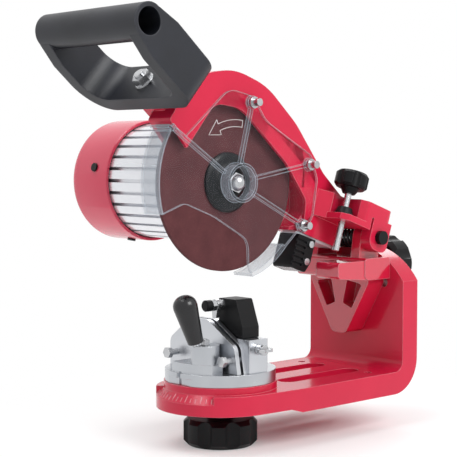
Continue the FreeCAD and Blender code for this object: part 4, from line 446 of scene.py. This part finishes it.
# Floor
# A pale floor under the knob takes the object's shadow and fades to white, for the eye and for mirrors
# only, so that it throws no extra light on the object.
FLOOR_GAP = 0.0004
FLOOR_Z = cad_box[0][2] - FLOOR_GAP
FLOOR_HALF, SHADOW_FROM, SHADOW_TO = 6.0, 0.0, 0.34
square = np.array(((-1, -1), (1, -1), (1, 1), (-1, 1))) * FLOOR_HALF
floor_mesh = bpy.data.meshes.new("floor")
floor_mesh.from_pydata(np.column_stack((square, np.full(4, FLOOR_Z))).tolist(), [], [(0, 1, 2, 3)])
floor = bpy.data.objects.new("floor", floor_mesh)
scene.collection.objects.link(floor)


def shown_rays(tree):
    """One for rays from the camera, from mirrors and through clear pieces; nought for light that scatters."""
    rays = add(tree, "ShaderNodeLightPath").outputs
    through = add(tree, "ShaderNodeMath", [(0, rays["Is Camera Ray"]), (1, rays["Is Transmission Ray"])],
                  operation="MAXIMUM").outputs[0]
    return add(tree, "ShaderNodeMath", [(0, through), (1, rays["Is Glossy Ray"])],
               operation="MAXIMUM").outputs[0]


pale = bpy.data.materials.new("pale_floor")
pale.use_nodes = True
tree = pale.node_tree
matt = tree.nodes["Principled BSDF"]
matt.inputs["Base Color"].default_value = srgb("#f4f4f4")
matt.inputs["Roughness"].default_value = 0.9
matt.inputs["Specular IOR Level"].default_value = 0.1
place = add(tree, "ShaderNodeTexCoord").outputs["Object"]
away = add(tree, "ShaderNodeVectorMath", [(0, place)], operation="LENGTH").outputs["Value"]
fade = add(tree, "ShaderNodeMapRange", [("Value", away), ("From Min", SHADOW_FROM),
                                        ("From Max", SHADOW_TO)],
           interpolation_type="SMOOTHSTEP").outputs["Result"]
seen = add(tree, "ShaderNodeMath", [(0, fade), (1, shown_rays(tree))], operation="MULTIPLY").outputs[0]
white = add(tree, "ShaderNodeEmission", [("Color", (1, 1, 1, 1)), ("Strength", 1.0)]).outputs["Emission"]
ground = add(tree, "ShaderNodeMixShader", [(0, seen), (1, matt.outputs["BSDF"]), (2, white)])
tree.links.new(ground.outputs["Shader"], tree.nodes["Material Output"].inputs["Surface"])
floor_mesh.materials.append(pale)

# Light
# A white room for the eye and for mirrors; as light it is dim at the horizon and brighter overhead.
# A broad key stands at the upper right, a softer lamp overhead and one behind.
ROOM_LOW, ROOM_HIGH = 0.16, 0.65
LOW_AT, HIGH_AT = -0.05, 0.6  # heights of the direction of view, as sines
world = bpy.data.worlds.new("studio")
scene.world = world
world.use_nodes = True
tree = world.node_tree
outward = add(tree, "ShaderNodeTexCoord").outputs["Generated"]
height = add(tree, "ShaderNodeSeparateXYZ", [(0, outward)]).outputs["Z"]
room = add(tree, "ShaderNodeMapRange", [("Value", height), ("From Min", LOW_AT), ("From Max", HIGH_AT),
                                        ("To Min", ROOM_LOW), ("To Max", ROOM_HIGH)]).outputs["Result"]
level = add(tree, "ShaderNodeMapRange", [("Value", shown_rays(tree)), ("To Min", room), ("To Max", 1.0)])
tree.links.new(level.outputs["Result"], tree.nodes["Background"].inputs["Strength"])
tree.nodes["Background"].inputs["Color"].default_value = (1, 1, 1, 1)
AIM = Vector((0, -0.05, 0.15))
# name, place, width in metres, power in watts
LAMPS = (("key", (1.35, 0.05, 1.15), 0.9, 18.5),
         ("top", (-0.3, -0.45, 1.7), 0.9, 12),
         ("back", (-0.7, 1.1, 1.1), 0.8, 7))
for name, spot, width, power in LAMPS:
    lamp = bpy.data.objects.new(name, bpy.data.lights.new(name, "AREA"))
    lamp.data.size = width
    lamp.data.energy = power
    lamp.location = spot
    lamp.rotation_euler = (AIM - Vector(spot)).to_track_quat("-Z", "Y").to_euler()
    scene.collection.objects.link(lamp)
